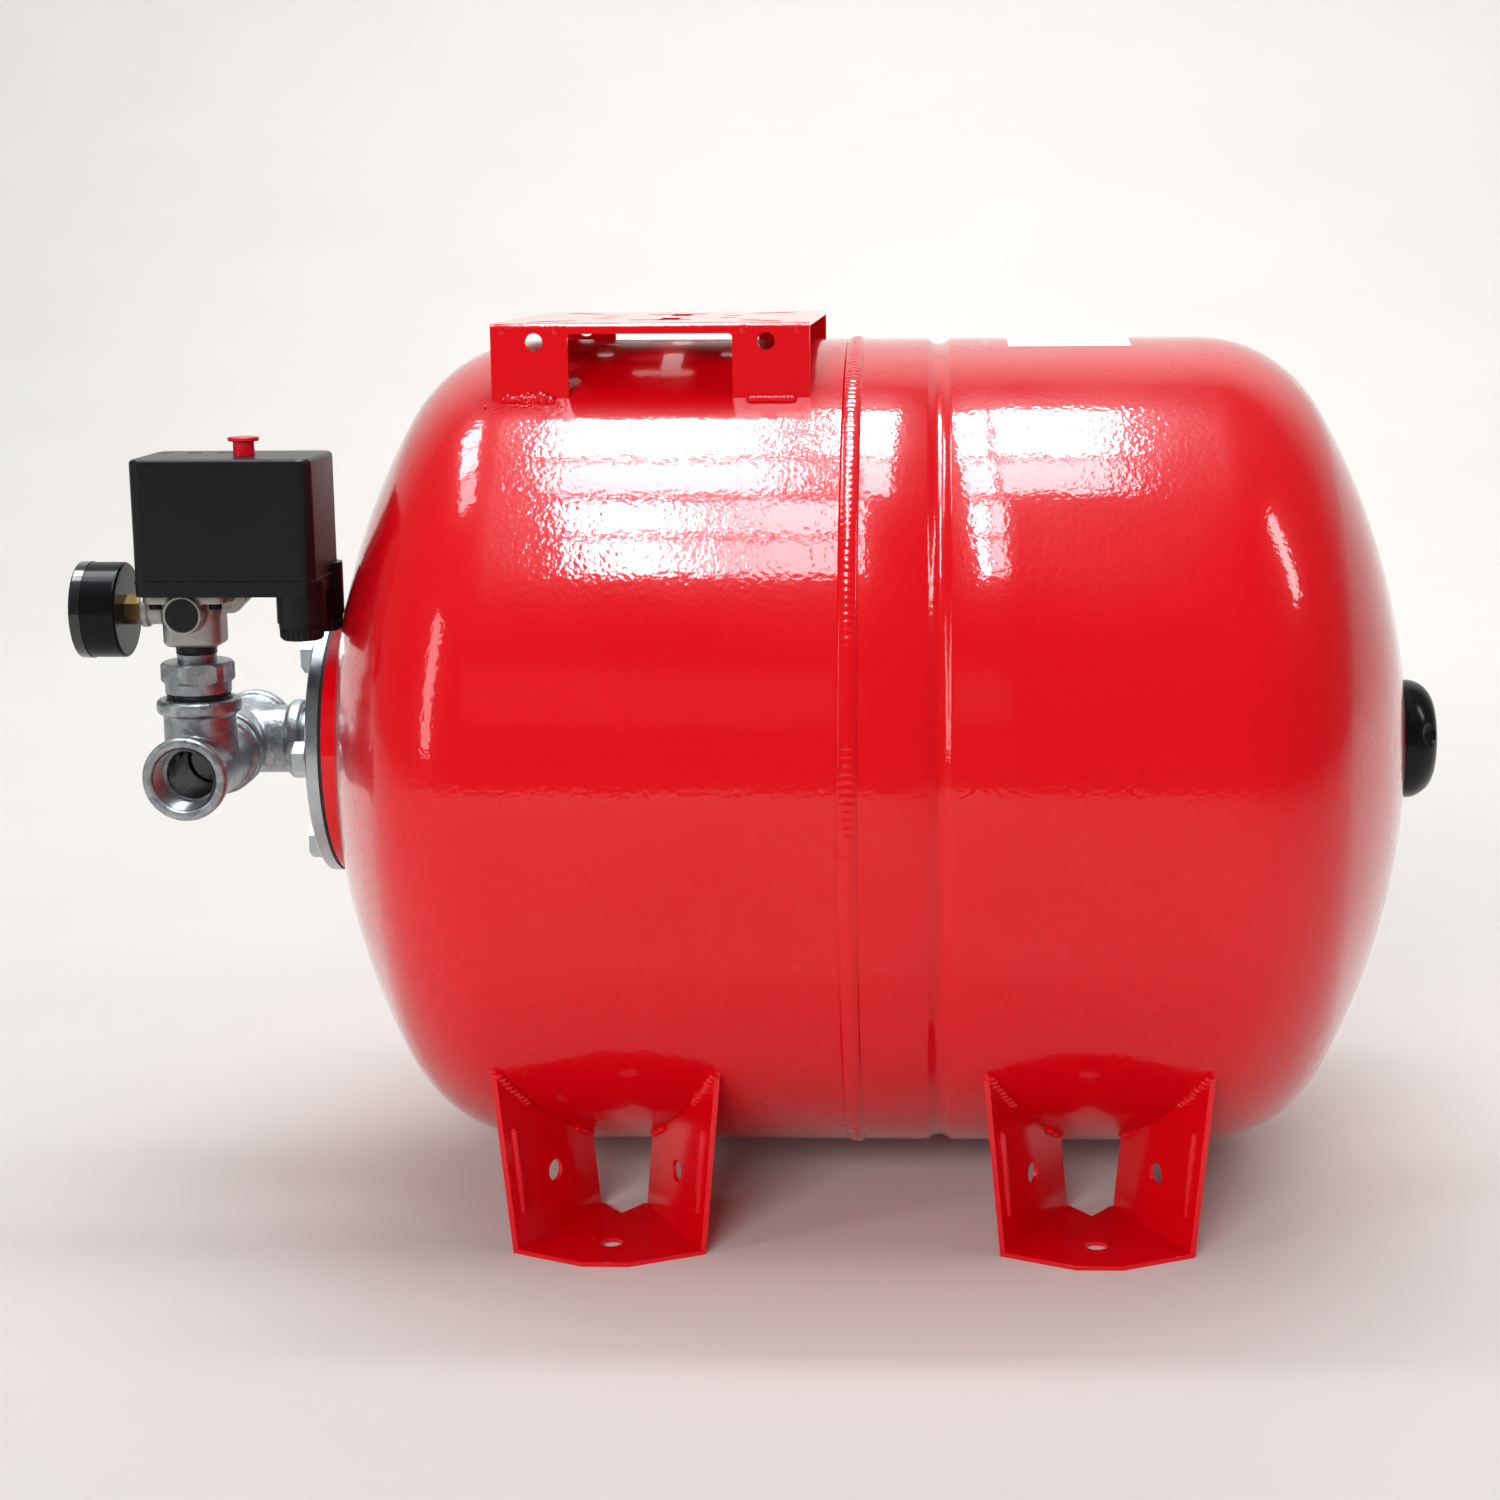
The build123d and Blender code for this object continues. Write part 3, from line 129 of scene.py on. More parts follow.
SWEEP_HALF_WIDTH = 7.0
SWEEP_FRONT = -5.0
SWEEP_BACK = 3.4
SWEEP_RADIUS = 1.2
SWEEP_TOP = 5.0
SWEEP_STEPS = 12
sweep = bmesh.new()
profile = [
    Vector((-SWEEP_HALF_WIDTH, SWEEP_FRONT, 0.0)),
    Vector((-SWEEP_HALF_WIDTH, SWEEP_BACK - SWEEP_RADIUS, 0.0)),
]
for step in range(1, SWEEP_STEPS + 1):
    angle = math.pi / 2 * step / SWEEP_STEPS
    profile.append(Vector((
        -SWEEP_HALF_WIDTH,
        SWEEP_BACK - SWEEP_RADIUS + SWEEP_RADIUS * math.sin(angle),
        SWEEP_RADIUS - SWEEP_RADIUS * math.cos(angle),
    )))
profile.append(Vector((-SWEEP_HALF_WIDTH, SWEEP_BACK, SWEEP_TOP)))
corners = [sweep.verts.new(point) for point in profile]
edges = [sweep.edges.new(pair) for pair in zip(corners, corners[1:])]
grown = bmesh.ops.extrude_edge_only(sweep, edges=edges)
bmesh.ops.translate(
    sweep,
    verts=[v for v in grown["geom"] if isinstance(v, bmesh.types.BMVert)],
    vec=(2 * SWEEP_HALF_WIDTH, 0, 0),
)
bmesh.ops.recalc_face_normals(sweep, faces=sweep.faces[:])
sweep_piece = keep_mesh("floor_sweep", sweep)
sweep_piece.data.materials.append(backdrop_white)

world = bpy.data.worlds.new("studio_air")
bpy.context.scene.world = world
world.use_nodes = True
world.node_tree.nodes["Background"].inputs["Color"].default_value = linear("#FFFFFF")
world.node_tree.nodes["Background"].inputs["Strength"].default_value = 0.15


def light_panel(name, place, aim, size_x, size_y, power, colour="#FFFFFF", mirrored=True):
    """Rectangular light at place that faces aim; a soft fill isn't mirrored in the gloss."""
    data = bpy.data.lights.new(name, "AREA")
    data.shape = "RECTANGLE"
    data.size = size_x
    data.size_y = size_y
    data.energy = power
    data.color = linear(colour)[:3]
    lamp = bpy.data.objects.new(name, data)
    bpy.context.scene.collection.objects.link(lamp)
    lamp.location = place
    lamp.rotation_euler = (Vector(aim) - Vector(place)).to_track_quat("-Z", "Y").to_euler()
    lamp.visible_glossy = mirrored
    return lamp


# roof windows: for each row its y and depth, and for each pane its x, width and power
ROOF_Z = 2.75
for row_y, row_depth, panes in (
    (0.72, 0.38, ((-1.35, 0.50, 12), (-0.36, 0.36, 20), (0.10, 0.42, 22))),
    (0.27, 0.42, ((-1.35, 0.50, 12), (-0.36, 0.36, 19), (0.10, 0.42, 21))),
    (-0.26, 0.50, ((-1.35, 0.50, 8), (-0.34, 0.40, 15), (0.12, 0.38, 11))),
    (-0.86, 0.50, ((-0.40, 0.22, 15), (-0.14, 0.22, 7))),
    (-1.50, 0.62, ((-0.42, 0.20, 16), (-0.16, 0.24, 8))),
):
    for pane_x, pane_width, power in panes:
        pane = light_panel(
            "roof_pane", (pane_x, row_y, ROOF_Z), (pane_x, row_y, 0), pane_width, row_depth, power,
            "#F4F9FF")
        pane.visible_diffuse = False
light_panel("right_window", (1.55, -0.55, 1.75), (0.1, 0, 0.30), 0.22, 0.9, 8)
light_panel("left_panel", (-2.2, -1.5, 1.1), (-0.1, 0, 0.25), 0.35, 1.5, 9)
light_panel("front_fill", (-0.9, -3.6, 1.7), (0, 0, 0.28), 1.8, 1.0, 88, mirrored=False)
light_panel("overhead_fill", (0, 0.1, 3.4), (0, 0.2, 0), 2.6, 2.0, 27, mirrored=False)
light_panel("back_fill", (0.3, 3.0, 2.2), (0, 0, 0.25), 2.6, 1.0, 30, mirrored=False)
light_panel("wall_wash", (0, 0.9, 3.8), (0, 3.4, 1.6), 5.0, 0.8, 120, mirrored=False)

# ---------------------------------------------------------------- tank shell
# Two deep-drawn halves of 2 mm steel with dished ends, joined by one weld round the middle.
# The steel is shot-blasted and powder coated, so the red film is thick, glossy and slightly
# rippled.
AXIS_Z = 0.2405
TANK_R = 0.225
SHELL_SHEET = 0.002
LEFT_LENGTH = 0.2925
RIGHT_LENGTH = 0.3025
HEAD_DEPTH = 0.115
KNUCKLE_R = 0.073
OPENING_R = 0.050
BOSS_R = 0.011
GROOVE_X = 0.045
GROOVE_HALF = 0.0065
GROOVE_DEPTH = 0.0028
SHELL_STEPS = 240
KNUCKLE_STEPS = 14
CROWN_STEPS = 16
GROOVE_STEPS = 12
RIM_STRIP = 0.0008
BEAD_HALF = 0.005


def clouded(name, dark, light, scale, detail=4.0, distortion=0.0):
    """Material whose colour drifts from dark to light in clouds 1/scale metres across."""
    material, tree, surface = new_material(name)
    place = add(tree, "ShaderNodeTexCoord").outputs["Object"]
    cloud = add(tree, "ShaderNodeTexNoise", {
        "Vector": place, "Scale": scale, "Detail": detail, "Distortion": distortion}).outputs["Fac"]
    tone = add(
        tree, "ShaderNodeMix", {"Factor": cloud, "A": linear(dark), "B": linear(light)},
        data_type="RGBA")
    tree.links.new(tone.outputs["Result"], surface.inputs["Base Color"])
    return material, tree, surface, place, cloud


def relief(tree, surface, height, strength, depth, sockets=("Normal",)):
    """Fine relief of the surface, depth metres deep, from a height pattern."""
    bump = add(tree, "ShaderNodeBump", {"Height": height, "Strength": strength, "Distance": depth})
    for socket in sockets:
        tree.links.new(bump.outputs["Normal"], surface.inputs[socket])


def uneven_gloss(tree, surface, pattern, low, high, low_at=0.0, high_at=1.0):
    """Roughness that runs from low to high as a pattern runs from low_at to high_at."""
    gloss = add(tree, "ShaderNodeMapRange", {
        "Value": pattern, "From Min": low_at, "From Max": high_at, "To Min": low, "To Max": high})
    tree.links.new(gloss.outputs["Result"], surface.inputs["Roughness"])


# the film's colour drifts a little where it is thicker
red_enamel, tree, surface, place, _ = clouded(
    "red_powder_coat_on_steel", "#D60010", "#DC0212", 9.0, 3.0)
# orange peel, 3 mm from crest to crest, on slow waves of 17 mm
peel = add(tree, "ShaderNodeTexNoise", {
    "Vector": place, "Scale": 330.0, "Detail": 1.5, "Roughness": 0.5})
slow = add(tree, "ShaderNodeTexNoise", {"Vector": place, "Scale": 60.0, "Detail": 1.0})
height = add(
    tree, "ShaderNodeMath", {0: peel.outputs["Fac"], 1: slow.outputs["Fac"]}, operation="ADD")
relief(tree, surface, height.outputs["Value"], 0.16, 0.0006, ("Normal", "Coat Normal"))
smear = add(tree, "ShaderNodeTexNoise", {"Vector": place, "Scale": 14.0, "Detail": 5.0})
uneven_gloss(tree, surface, smear.outputs["Fac"], 0.24, 0.36, 0.35, 0.75)
surface.inputs["Specular IOR Level"].default_value = 0.1
surface.inputs["Coat Weight"].default_value = 1.0
surface.inputs["Coat Roughness"].default_value = 0.06
surface.inputs["Coat IOR"].default_value = 1.42


def half_profile(length, opening, groove):
    """Outline of one half as distance from the seam and radius, from the seam to the opening."""
    crown_r = (
        (HEAD_DEPTH**2 - KNUCKLE_R**2 + (TANK_R - KNUCKLE_R) ** 2) / (2 * (HEAD_DEPTH - KNUCKLE_R)))
    knuckle_x = length - HEAD_DEPTH
    turn = math.atan2(TANK_R - KNUCKLE_R, crown_r - HEAD_DEPTH)
    # narrow strips by the rim keep the shading of the long faces flat
    points = [(0.0, TANK_R), (RIM_STRIP, TANK_R), (BEAD_HALF * 1.4, TANK_R)]
    if groove:
        for step in range(GROOVE_STEPS + 1):
            along = -1 + 2 * step / GROOVE_STEPS
            depth = GROOVE_DEPTH * (1 - along**2) ** 1.5
            points.append((GROOVE_X + GROOVE_HALF * along, TANK_R - depth))
    for share in (0.45 if groove else 0.3, 0.75, 1.0):
        points.append((knuckle_x * share, TANK_R))
    for step in range(1, KNUCKLE_STEPS + 1):
        angle = math.pi / 2 - (math.pi / 2 - turn) * step / KNUCKLE_STEPS
        points.append((
            knuckle_x + KNUCKLE_R * math.cos(angle),
            TANK_R - KNUCKLE_R + KNUCKLE_R * math.sin(angle),
        ))
    end = math.asin(opening / crown_r)
    angles = [turn + (end - turn) * step / CROWN_STEPS for step in range(1, CROWN_STEPS + 1)]
    for angle in angles[:-1] + [end + RIM_STRIP / crown_r, end]:
        points.append((length - crown_r + crown_r * math.cos(angle), crown_r * math.sin(angle)))
    return points


def spun_round_x(points, steps):
    """Spin an outline of x and radius all the way round the tank's axis."""
    shape = bmesh.new()
    corners = [shape.verts.new((x, 0, AXIS_Z + radius)) for x, radius in points]
    edges = [shape.edges.new(pair) for pair in zip(corners, corners[1:])]
    bmesh.ops.spin(
        shape, geom=corners + edges, cent=(0, 0, AXIS_Z), axis=(1, 0, 0), angle=2 * math.pi,
        steps=steps, use_merge=True)
    bmesh.ops.remove_doubles(shape, verts=shape.verts[:], dist=1e-6)
    bmesh.ops.recalc_face_normals(shape, faces=shape.faces[:])
    return shape


def face_outwards(shape, centre):
    """Turn every face over if the first one looks towards centre."""
    shape.faces.ensure_lookup_table()
    face = shape.faces[0]
    if face.normal.dot(face.calc_center_median() - Vector(centre)) < 0:
        bmesh.ops.reverse_faces(shape, faces=shape.faces[:])


for name, side, length, opening, node in (
    ("flange_half", -1, LEFT_LENGTH, OPENING_R, "shell_flange_half"),
    ("valve_half", 1, RIGHT_LENGTH, BOSS_R, "shell_valve_half"),
):
    outline = [(side * x, r) for x, r in half_profile(length, opening, side > 0)]
    shell = spun_round_x(outline, SHELL_STEPS)
    face_outwards(shell, (side * 0.05, 0, AXIS_Z))
    shell_piece = keep_mesh(name, shell)
    shell_piece.data.materials.append(red_enamel)
    wall = shell_piece.modifiers.new("wall", "SOLIDIFY")
    wall.thickness = SHELL_SHEET
    wall.offset = -1.0
    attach(shell_piece, "tank")
    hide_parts(node)

# ---------------------------------------------------------------- seam weld
# One machine-made weld bead joins the halves.  Its ripples lie 4 mm apart and it is painted
# over with the tank.
BEAD_HEIGHT = 0.001152
BEAD_SINK = 0.0006
BEAD_STEPS = 8
RIPPLE_COUNT = 350
STEPS_PER_RIPPLE = 6
RIPPLE_HEIGHT = 0.00014
UNEVENNESS = 0.00035
outline = []
for step in range(BEAD_STEPS + 1):
    along = -1 + 2 * step / BEAD_STEPS
    outline.append((BEAD_HALF * along, TANK_R + BEAD_HEIGHT * (1 - along**2)))
outline.append((BEAD_HALF, TANK_R - BEAD_SINK))
outline.append((-BEAD_HALF, TANK_R - BEAD_SINK))
outline.append(outline[0])
bead = spun_round_x(outline, RIPPLE_COUNT * STEPS_PER_RIPPLE)
for vertex in bead.verts:
    offset = vertex.co - Vector((vertex.co.x, 0, AXIS_Z))
    if offset.length > TANK_R + 0.0001:
        angle = math.atan2(offset.y, offset.z)
        swing = abs(vertex.co.x) / BEAD_HALF
        ripple = math.cos(RIPPLE_COUNT * angle + 2.2 * swing**2)
        wander = noise.noise(Vector((vertex.co.x * 60, angle * 24, 3.1)))
        lift = RIPPLE_HEIGHT * ripple + UNEVENNESS * wander
        vertex.co += offset.normalized() * (1 - swing) * lift
bead_piece = keep_mesh("seam_bead", bead)
bead_piece.data.materials.append(red_enamel)
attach(bead_piece, "tank")
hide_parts("seam_weld")

# ---------------------------------------------------------------- feet, bracket, ring and boss
# Four feet and the pump bracket are folded from sheet and welded on before painting, so their
# cut edges are rounded by the paint.  A thick steel ring is welded in the flange end, and a
# small boss in the other.
SHARP = math.radians(28)
FOOT_EDGE = 0.0007
BRACKET_EDGE = 0.0005


def softened(node, name, width):
    """Copy of a CAD piece with its triangles merged into faces and its sharp edges rounded."""
    shape = bmesh.new()
    shape.from_mesh(nodes[node].data)
    bmesh.ops.remove_doubles(shape, verts=shape.verts[:], dist=2e-6)
    bmesh.ops.dissolve_limit(
        shape, angle_limit=math.radians(0.6), verts=shape.verts[:], edges=shape.edges[:])
    edges = [e for e in shape.edges if len(e.link_faces) == 2 and e.calc_face_angle(0) > SHARP]
    bmesh.ops.bevel(
        shape, geom=edges, offset=width, offset_type="OFFSET", affect="EDGES", segments=2,
        profile=0.5, material=-1, clamp_overlap=True)
    piece = keep_mesh(name, shape)
    for polygon in piece.data.polygons:
        polygon.material_index = 0
    piece.data.set_sharp_from_angle(angle=math.radians(38))
    even = piece.modifiers.new("even_shading", "WEIGHTED_NORMAL")
    even.keep_sharp = True
    return piece


for node in ("front_left_foot", "front_right_foot", "rear_left_foot", "rear_right_foot"):
    foot = softened(node, node + "_sheet", FOOT_EDGE)
    foot.data.materials.append(red_enamel)
    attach(foot, "tank")
    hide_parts(node)

bracket = softened("top_bracket", "pump_bracket", BRACKET_EDGE)
bracket.data.materials.append(red_enamel)
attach(bracket, "tank")
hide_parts("top_bracket")


def dress(node, material):
    """Give a CAD piece its finish."""
    slots = nodes[node].material_slots
    if slots:
        for slot in slots:
            slot.material = material
    else:
        nodes[node].data.materials.append(material)


for node in ("neck_ring", "valve_boss"):
    dress(node, red_enamel)

# ---------------------------------------------------------------- stiffening beads of the feet
# A bead is pressed into each side wall of the feet just behind its front edge, so that the sheet
# doesn't buckle.  It stands out on the wall's inner face and is painted with the foot.
FOOT_X = 0.127
FOOT_NARROW_Y = 0.108
FOOT_NARROW_HALF = 0.015
FOOT_SPREAD = 0.53
FOOT_LEAN = 0.092
FOOT_SHEET = 0.0025
BEAD_Y = 0.1675
BEAD_LOW = 0.021
BEAD_HIGH = 0.064
BEAD_R = 0.0022
# every choice of left or right, front or rear, and one wall or the other
EIGHT_PLACES = [(side, end, wall) for side in (-1, 1) for end in (-1, 1) for wall in (-1, 1)]


def wall_half(y, z):
    """Distance of a side wall's outer face from the foot's mid plane, at y and z."""
    return FOOT_NARROW_HALF + (y - FOOT_NARROW_Y) * FOOT_SPREAD + FOOT_LEAN * z


beads = bmesh.new()
for foot_side, end, wall_side in EIGHT_PLACES:
    made = bmesh.ops.create_uvsphere(beads, u_segments=14, v_segments=10, radius=BEAD_R)
    for vertex in made["verts"]:
        height = BEAD_LOW if vertex.co.z < 0 else BEAD_HIGH
        inner_x = wall_half(BEAD_Y, height) - FOOT_SHEET * 1.1
        vertex.co = Vector((
            foot_side * FOOT_X + wall_side * inner_x + vertex.co.x,
            end * BEAD_Y + vertex.co.y,
            height + vertex.co.z,
        ))
beads_piece = keep_mesh("foot_pressed_beads", beads)
beads_piece.data.materials.append(red_enamel)
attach(beads_piece, "tank")

# ---------------------------------------------------------------- hand welds
# Short runs of hand weld hold the feet and the bracket, each a row of overlapping drops with
# a little spatter, painted over.
DROP_STEP = 0.0024
DROP_UNEVENNESS = 0.12


def drop(shape, centre, radius, flatten=1.0):
    """One drop of weld metal, uneven and flattened a little."""
    made = bmesh.ops.create_icosphere(shape, subdivisions=2, radius=radius)
    for vertex in made["verts"]:
        vertex.co *= 1 + DROP_UNEVENNESS * noise.noise(vertex.co * 350 + centre * 90)
        vertex.co.z *= flatten
        vertex.co += centre


# runs by a side wall's front and back edge: first drop's y, number of drops and their radius
FOOT_RUNS = ((0.1735, 9, 0.0034), (0.120, 5, 0.0030))
DROP_JITTER = 0.0012
DROP_SINK = 0.0006
welds = bmesh.new()
for foot_side, end, wall_side in EIGHT_PLACES:
    for first_y, count, radius in FOOT_RUNS:
        for step in range(count):
            y = first_y - DROP_STEP * step
            z = AXIS_Z - math.sqrt(TANK_R**2 - y**2)
            x = wall_half(y, z) - FOOT_SHEET * 1.05
            jitter = DROP_JITTER * noise.noise(
                Vector((foot_side * 3.0 + wall_side, end * 2.0, step * 0.71)))
            drop(welds, Vector((
                foot_side * FOOT_X + wall_side * (x + jitter), end * (y + jitter), z - DROP_SINK,
            )), radius, 0.7)
welds_piece = keep_mesh("foot_weld_runs", welds)
welds_piece.data.materials.append(red_enamel)
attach(welds_piece, "tank")
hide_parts("foot_welds")

# each leg of the bracket has a neat run, but the front left one has a heap and spatter as well
BRACKET_X = -0.104
BRACKET_HALF_W = 0.105
LEG_CENTRE = 0.0625
RUN_DROPS = 12
RUN_R = 0.0029
HEAP_DROPS = 26
HEAP_R = 0.0024
HEAP_REACH = 0.028
HEAP_HEIGHT = 0.0052
SPATTER_DROPS = 18
SPATTER_REACH = 0.034
SPATTER_R = 0.0009
welds = bmesh.new()
for leg_side in (-1, 1):
    for end in (-1, 1):
        messy = leg_side < 0 and end < 0
        for step in range(RUN_DROPS):
            along = (step - (RUN_DROPS - 1) / 2) * DROP_STEP * 0.8
            wander = noise.noise(Vector((leg_side * 5.0 + end, step * 0.6, 1.7)))
            y = BRACKET_HALF_W + 0.0012 + (0.0016 if messy else 0.0003) * wander
            z = AXIS_Z + math.sqrt(TANK_R**2 - y**2)
            radius = RUN_R * (1 + (0.35 if messy else 0.06) * wander)
            x = BRACKET_X + leg_side * LEG_CENTRE + along
            drop(welds, Vector((x, end * y, z)), radius, 0.85)
        if messy:
            for step in range(HEAP_DROPS):
                heap = Vector((step * 1.31, 7.7, 0.3))
                x = BRACKET_X - LEG_CENTRE - 0.002 + HEAP_REACH * noise.noise(heap)
                y = BRACKET_HALF_W + 0.0016 + 0.002 * noise.noise(heap + Vector((0, 9, 0)))
                lift = HEAP_HEIGHT * abs(noise.noise(heap + Vector((0, 0, 4)))) - DROP_SINK
                z = AXIS_Z + math.sqrt(TANK_R**2 - y**2) + lift
                drop(welds, Vector((x, -y, z)), HEAP_R + 0.0016 * noise.noise(heap * 2.1))
            for step in range(SPATTER_DROPS):
                spray = Vector((step * 1.77, 2.7, 5.3))
                x = BRACKET_X - LEG_CENTRE + SPATTER_REACH * noise.noise(spray)
                y = BRACKET_HALF_W + 0.0065 + 0.008 * noise.noise(spray + Vector((0, 9, 0)))
                z = AXIS_Z + math.sqrt(TANK_R**2 - y**2)
                drop(welds, Vector((x, -y, z)), SPATTER_R)
welds_piece = keep_mesh("bracket_weld_runs", welds)
welds_piece.data.materials.append(red_enamel)
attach(welds_piece, "tank")
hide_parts("bracket_welds")

# ---------------------------------------------------------------- dimples of the bracket
# Each bend of the bracket is stiffened by two small dimples, punched into the sheet before it is
# folded and painted over with it.
DIMPLE_OFFSET = 0.014
DIMPLE_DROP = 0.0038
DIMPLE_SINK = 0.0004
DIMPLE_RADII = (0.0022, 0.0013, 0.0030)
BRACKET_TOP = AXIS_Z + 0.2375
dimples = bmesh.new()
for leg_side, end, dimple_side in EIGHT_PLACES:
    x = BRACKET_X + leg_side * LEG_CENTRE + dimple_side * DIMPLE_OFFSET
    made = bmesh.ops.create_uvsphere(dimples, u_segments=14, v_segments=10, radius=1.0)
    for vertex in made["verts"]:
        vertex.co = Vector((
            x + DIMPLE_RADII[0] * vertex.co.x,
            end * (BRACKET_HALF_W - DIMPLE_SINK) + DIMPLE_RADII[1] * vertex.co.y,
            BRACKET_TOP - DIMPLE_DROP + DIMPLE_RADII[2] * vertex.co.z,
        ))
dimples_piece = keep_mesh("bracket_dimples", dimples)
dimples_piece.data.materials.append(red_enamel)
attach(dimples_piece, "tank")

# ---------------------------------------------------------------- flange, bolts and fittings
# The counter flange and its bolts are zinc plated, bluish white.  The tees are malleable
# castings dipped in hot zinc, so they are mottled with crystals a few millimetres across.
zinc_plate, tree, surface, place, cloud = clouded("bright_zinc_plate", "#AEB6BC", "#D3D8DB", 120.0)
uneven_gloss(tree, surface, cloud, 0.22, 0.44)
surface.inputs["Metallic"].default_value = 1.0
grain = add(tree, "ShaderNodeTexNoise", {"Vector": place, "Scale": 900.0, "Detail": 2.0})
relief(tree, surface, grain.outputs["Fac"], 0.15, 0.0003)

galvanised, tree, surface = new_material("hot_dip_galvanised_casting")
place = add(tree, "ShaderNodeTexCoord").outputs["Object"]
crystals = add(tree, "ShaderNodeTexVoronoi", {"Vector": place, "Scale": 260.0})
mottle = add(tree, "ShaderNodeTexNoise", {"Vector": place, "Scale": 70.0, "Detail": 5.0})
mixed = add(
    tree, "ShaderNodeMath", {0: crystals.outputs["Color"], 1: mottle.outputs["Fac"]},
    operation="MULTIPLY")
tone = add(
    tree, "ShaderNodeMix",
    {"Factor": mixed.outputs["Value"], "A": linear("#878C90"), "B": linear("#DADEE1")},
    data_type="RGBA")
tree.links.new(tone.outputs["Result"], surface.inputs["Base Color"])
uneven_gloss(tree, surface, mottle.outputs["Fac"], 0.24, 0.55)
surface.inputs["Metallic"].default_value = 0.95
sand = add(tree, "ShaderNodeTexNoise", {"Vector": place, "Scale": 480.0, "Detail": 4.0})
relief(tree, surface, sand.outputs["Fac"], 0.4, 0.0007)

for node in ("counter_flange", "flange_bolts", "flange_washers"):
    dress(node, zinc_plate)

CAST_VOXEL = 0.0008
TEE_SMOOTHING = 6


def cast_copy(node, name, smoothing):
    """Copy of a CAD piece with the rounded corners of a sand casting."""
    shape = bmesh.new()
    shape.from_mesh(nodes[node].data)
    bmesh.ops.remove_doubles(shape, verts=shape.verts[:], dist=2e-6)
    piece = keep_mesh(name, shape)
    remesh = piece.modifiers.new("remesh", "REMESH")
    remesh.mode = "VOXEL"
    remesh.voxel_size = CAST_VOXEL
    smooth = piece.modifiers.new("smooth", "SMOOTH")
    smooth.factor = 0.5
    smooth.iterations = smoothing
    evaluated = piece.evaluated_get(bpy.context.evaluated_depsgraph_get())
    finished = bpy.data.meshes.new_from_object(evaluated)
    piece.modifiers.clear()
    piece.data = finished
    for polygon in finished.polygons:
        polygon.use_smooth = True
        polygon.material_index = 0
    finished.materials.clear()
    return piece


for node in ("flange_tee", "switch_tee"):
    tee = cast_copy(node, node + "_casting", TEE_SMOOTHING)
    tee.data.materials.append(galvanised)
    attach(tee, "tank")
    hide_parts(node)
dress("reducing_bushing", galvanised)

# ---------------------------------------------------------------- pipe threads
# Pipe thread, 11 to the inch, smeared with black sealing compound where two fittings meet.  The
# open ports show clean thread.
THREAD_PITCH = 0.00231
THREAD_SIDES = 72
sealed_thread, tree, surface, place, _ = clouded(
    "thread_with_black_sealant", "#0B0C0D", "#34373A", 150.0)
surface.inputs["Roughness"].default_value = 0.38
surface.inputs["Metallic"].default_value = 0.3
split = add(tree, "ShaderNodeSeparateXYZ", {"Vector": place})
along = add(tree, "ShaderNodeMath", {0: split.outputs["Y"], 1: split.outputs["Z"]}, operation="ADD")
phase = add(
    tree, "ShaderNodeMath", {0: along.outputs["Value"], 1: 2 * math.pi / THREAD_PITCH},
    operation="MULTIPLY")
wave = add(tree, "ShaderNodeMath", {0: phase.outputs["Value"]}, operation="SINE")
relief(tree, surface, wave.outputs["Value"], 0.8, 0.0007)
dress("tee_nipple", sealed_thread)
dress("switch_nipple", galvanised)


def thread_band(name, axis, centre, start, end, crest_r, pitch, depth):
    """Ring of exposed thread round centre, from start to end along axis."""
    shape = bmesh.new()
    points = []
    turns = max(1, round((end - start) / pitch))
    step = (end - start) / turns
    across = Vector((0, 0, 1)) if axis.y else Vector((0, 1, 0))
    for turn in range(turns):
        points.append(centre + axis * (start + step * turn) + across * (crest_r - depth))
        points.append(centre + axis * (start + step * (turn + 0.5)) + across * crest_r)
    points.append(centre + axis * end + across * (crest_r - depth))
    points.append(centre + axis * end + across * (crest_r - 3 * depth))
    points.append(centre + axis * start + across * (crest_r - 3 * depth))
    points.append(points[0])
    corners = [shape.verts.new(point) for point in points]
    edges = [shape.edges.new(pair) for pair in zip(corners, corners[1:])]
    bmesh.ops.spin(
        shape, geom=corners + edges, cent=centre, axis=axis, angle=2 * math.pi, steps=THREAD_SIDES,
        use_merge=True)
    bmesh.ops.remove_doubles(shape, verts=shape.verts[:], dist=1e-6)
    bmesh.ops.recalc_face_normals(shape, faces=shape.faces[:])
    band = keep_mesh(name, shape)
    band.data.set_sharp_from_angle(angle=math.radians(50))
    band.data.materials.append(sealed_thread)
    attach(band, "tank")


# the switch stands on a column of fittings over the front tee, which joins the other along Y;
# each band has its start and end, crest radius, pitch and depth
PORT_X = -0.355
COLUMN_Y = -0.080
COLUMN = Vector((PORT_X, COLUMN_Y, AXIS_Z))
TEE_JOINT = Vector((PORT_X, -0.040, AXIS_Z))
UP = Vector((0, 0, 1))
ACROSS = Vector((0, 1, 0))
thread_band("bushing_thread_band", UP, COLUMN, 0.0378, 0.0416, 0.0172, 0.0019, 0.0005)
thread_band("nipple_thread_band", UP, COLUMN, 0.0622, 0.0672, 0.0110, 0.0017, 0.0004)
thread_band("tee_thread_band", ACROSS, TEE_JOINT, -0.0022, 0.0022, 0.0171, 0.0022, 0.0005)

bright_thread, _, surface, *_ = clouded("machined_thread_steel", "#777A7C", "#B4B7B9", 600.0, 3.0)
surface.inputs["Metallic"].default_value = 1.0
surface.inputs["Roughness"].default_value = 0.3

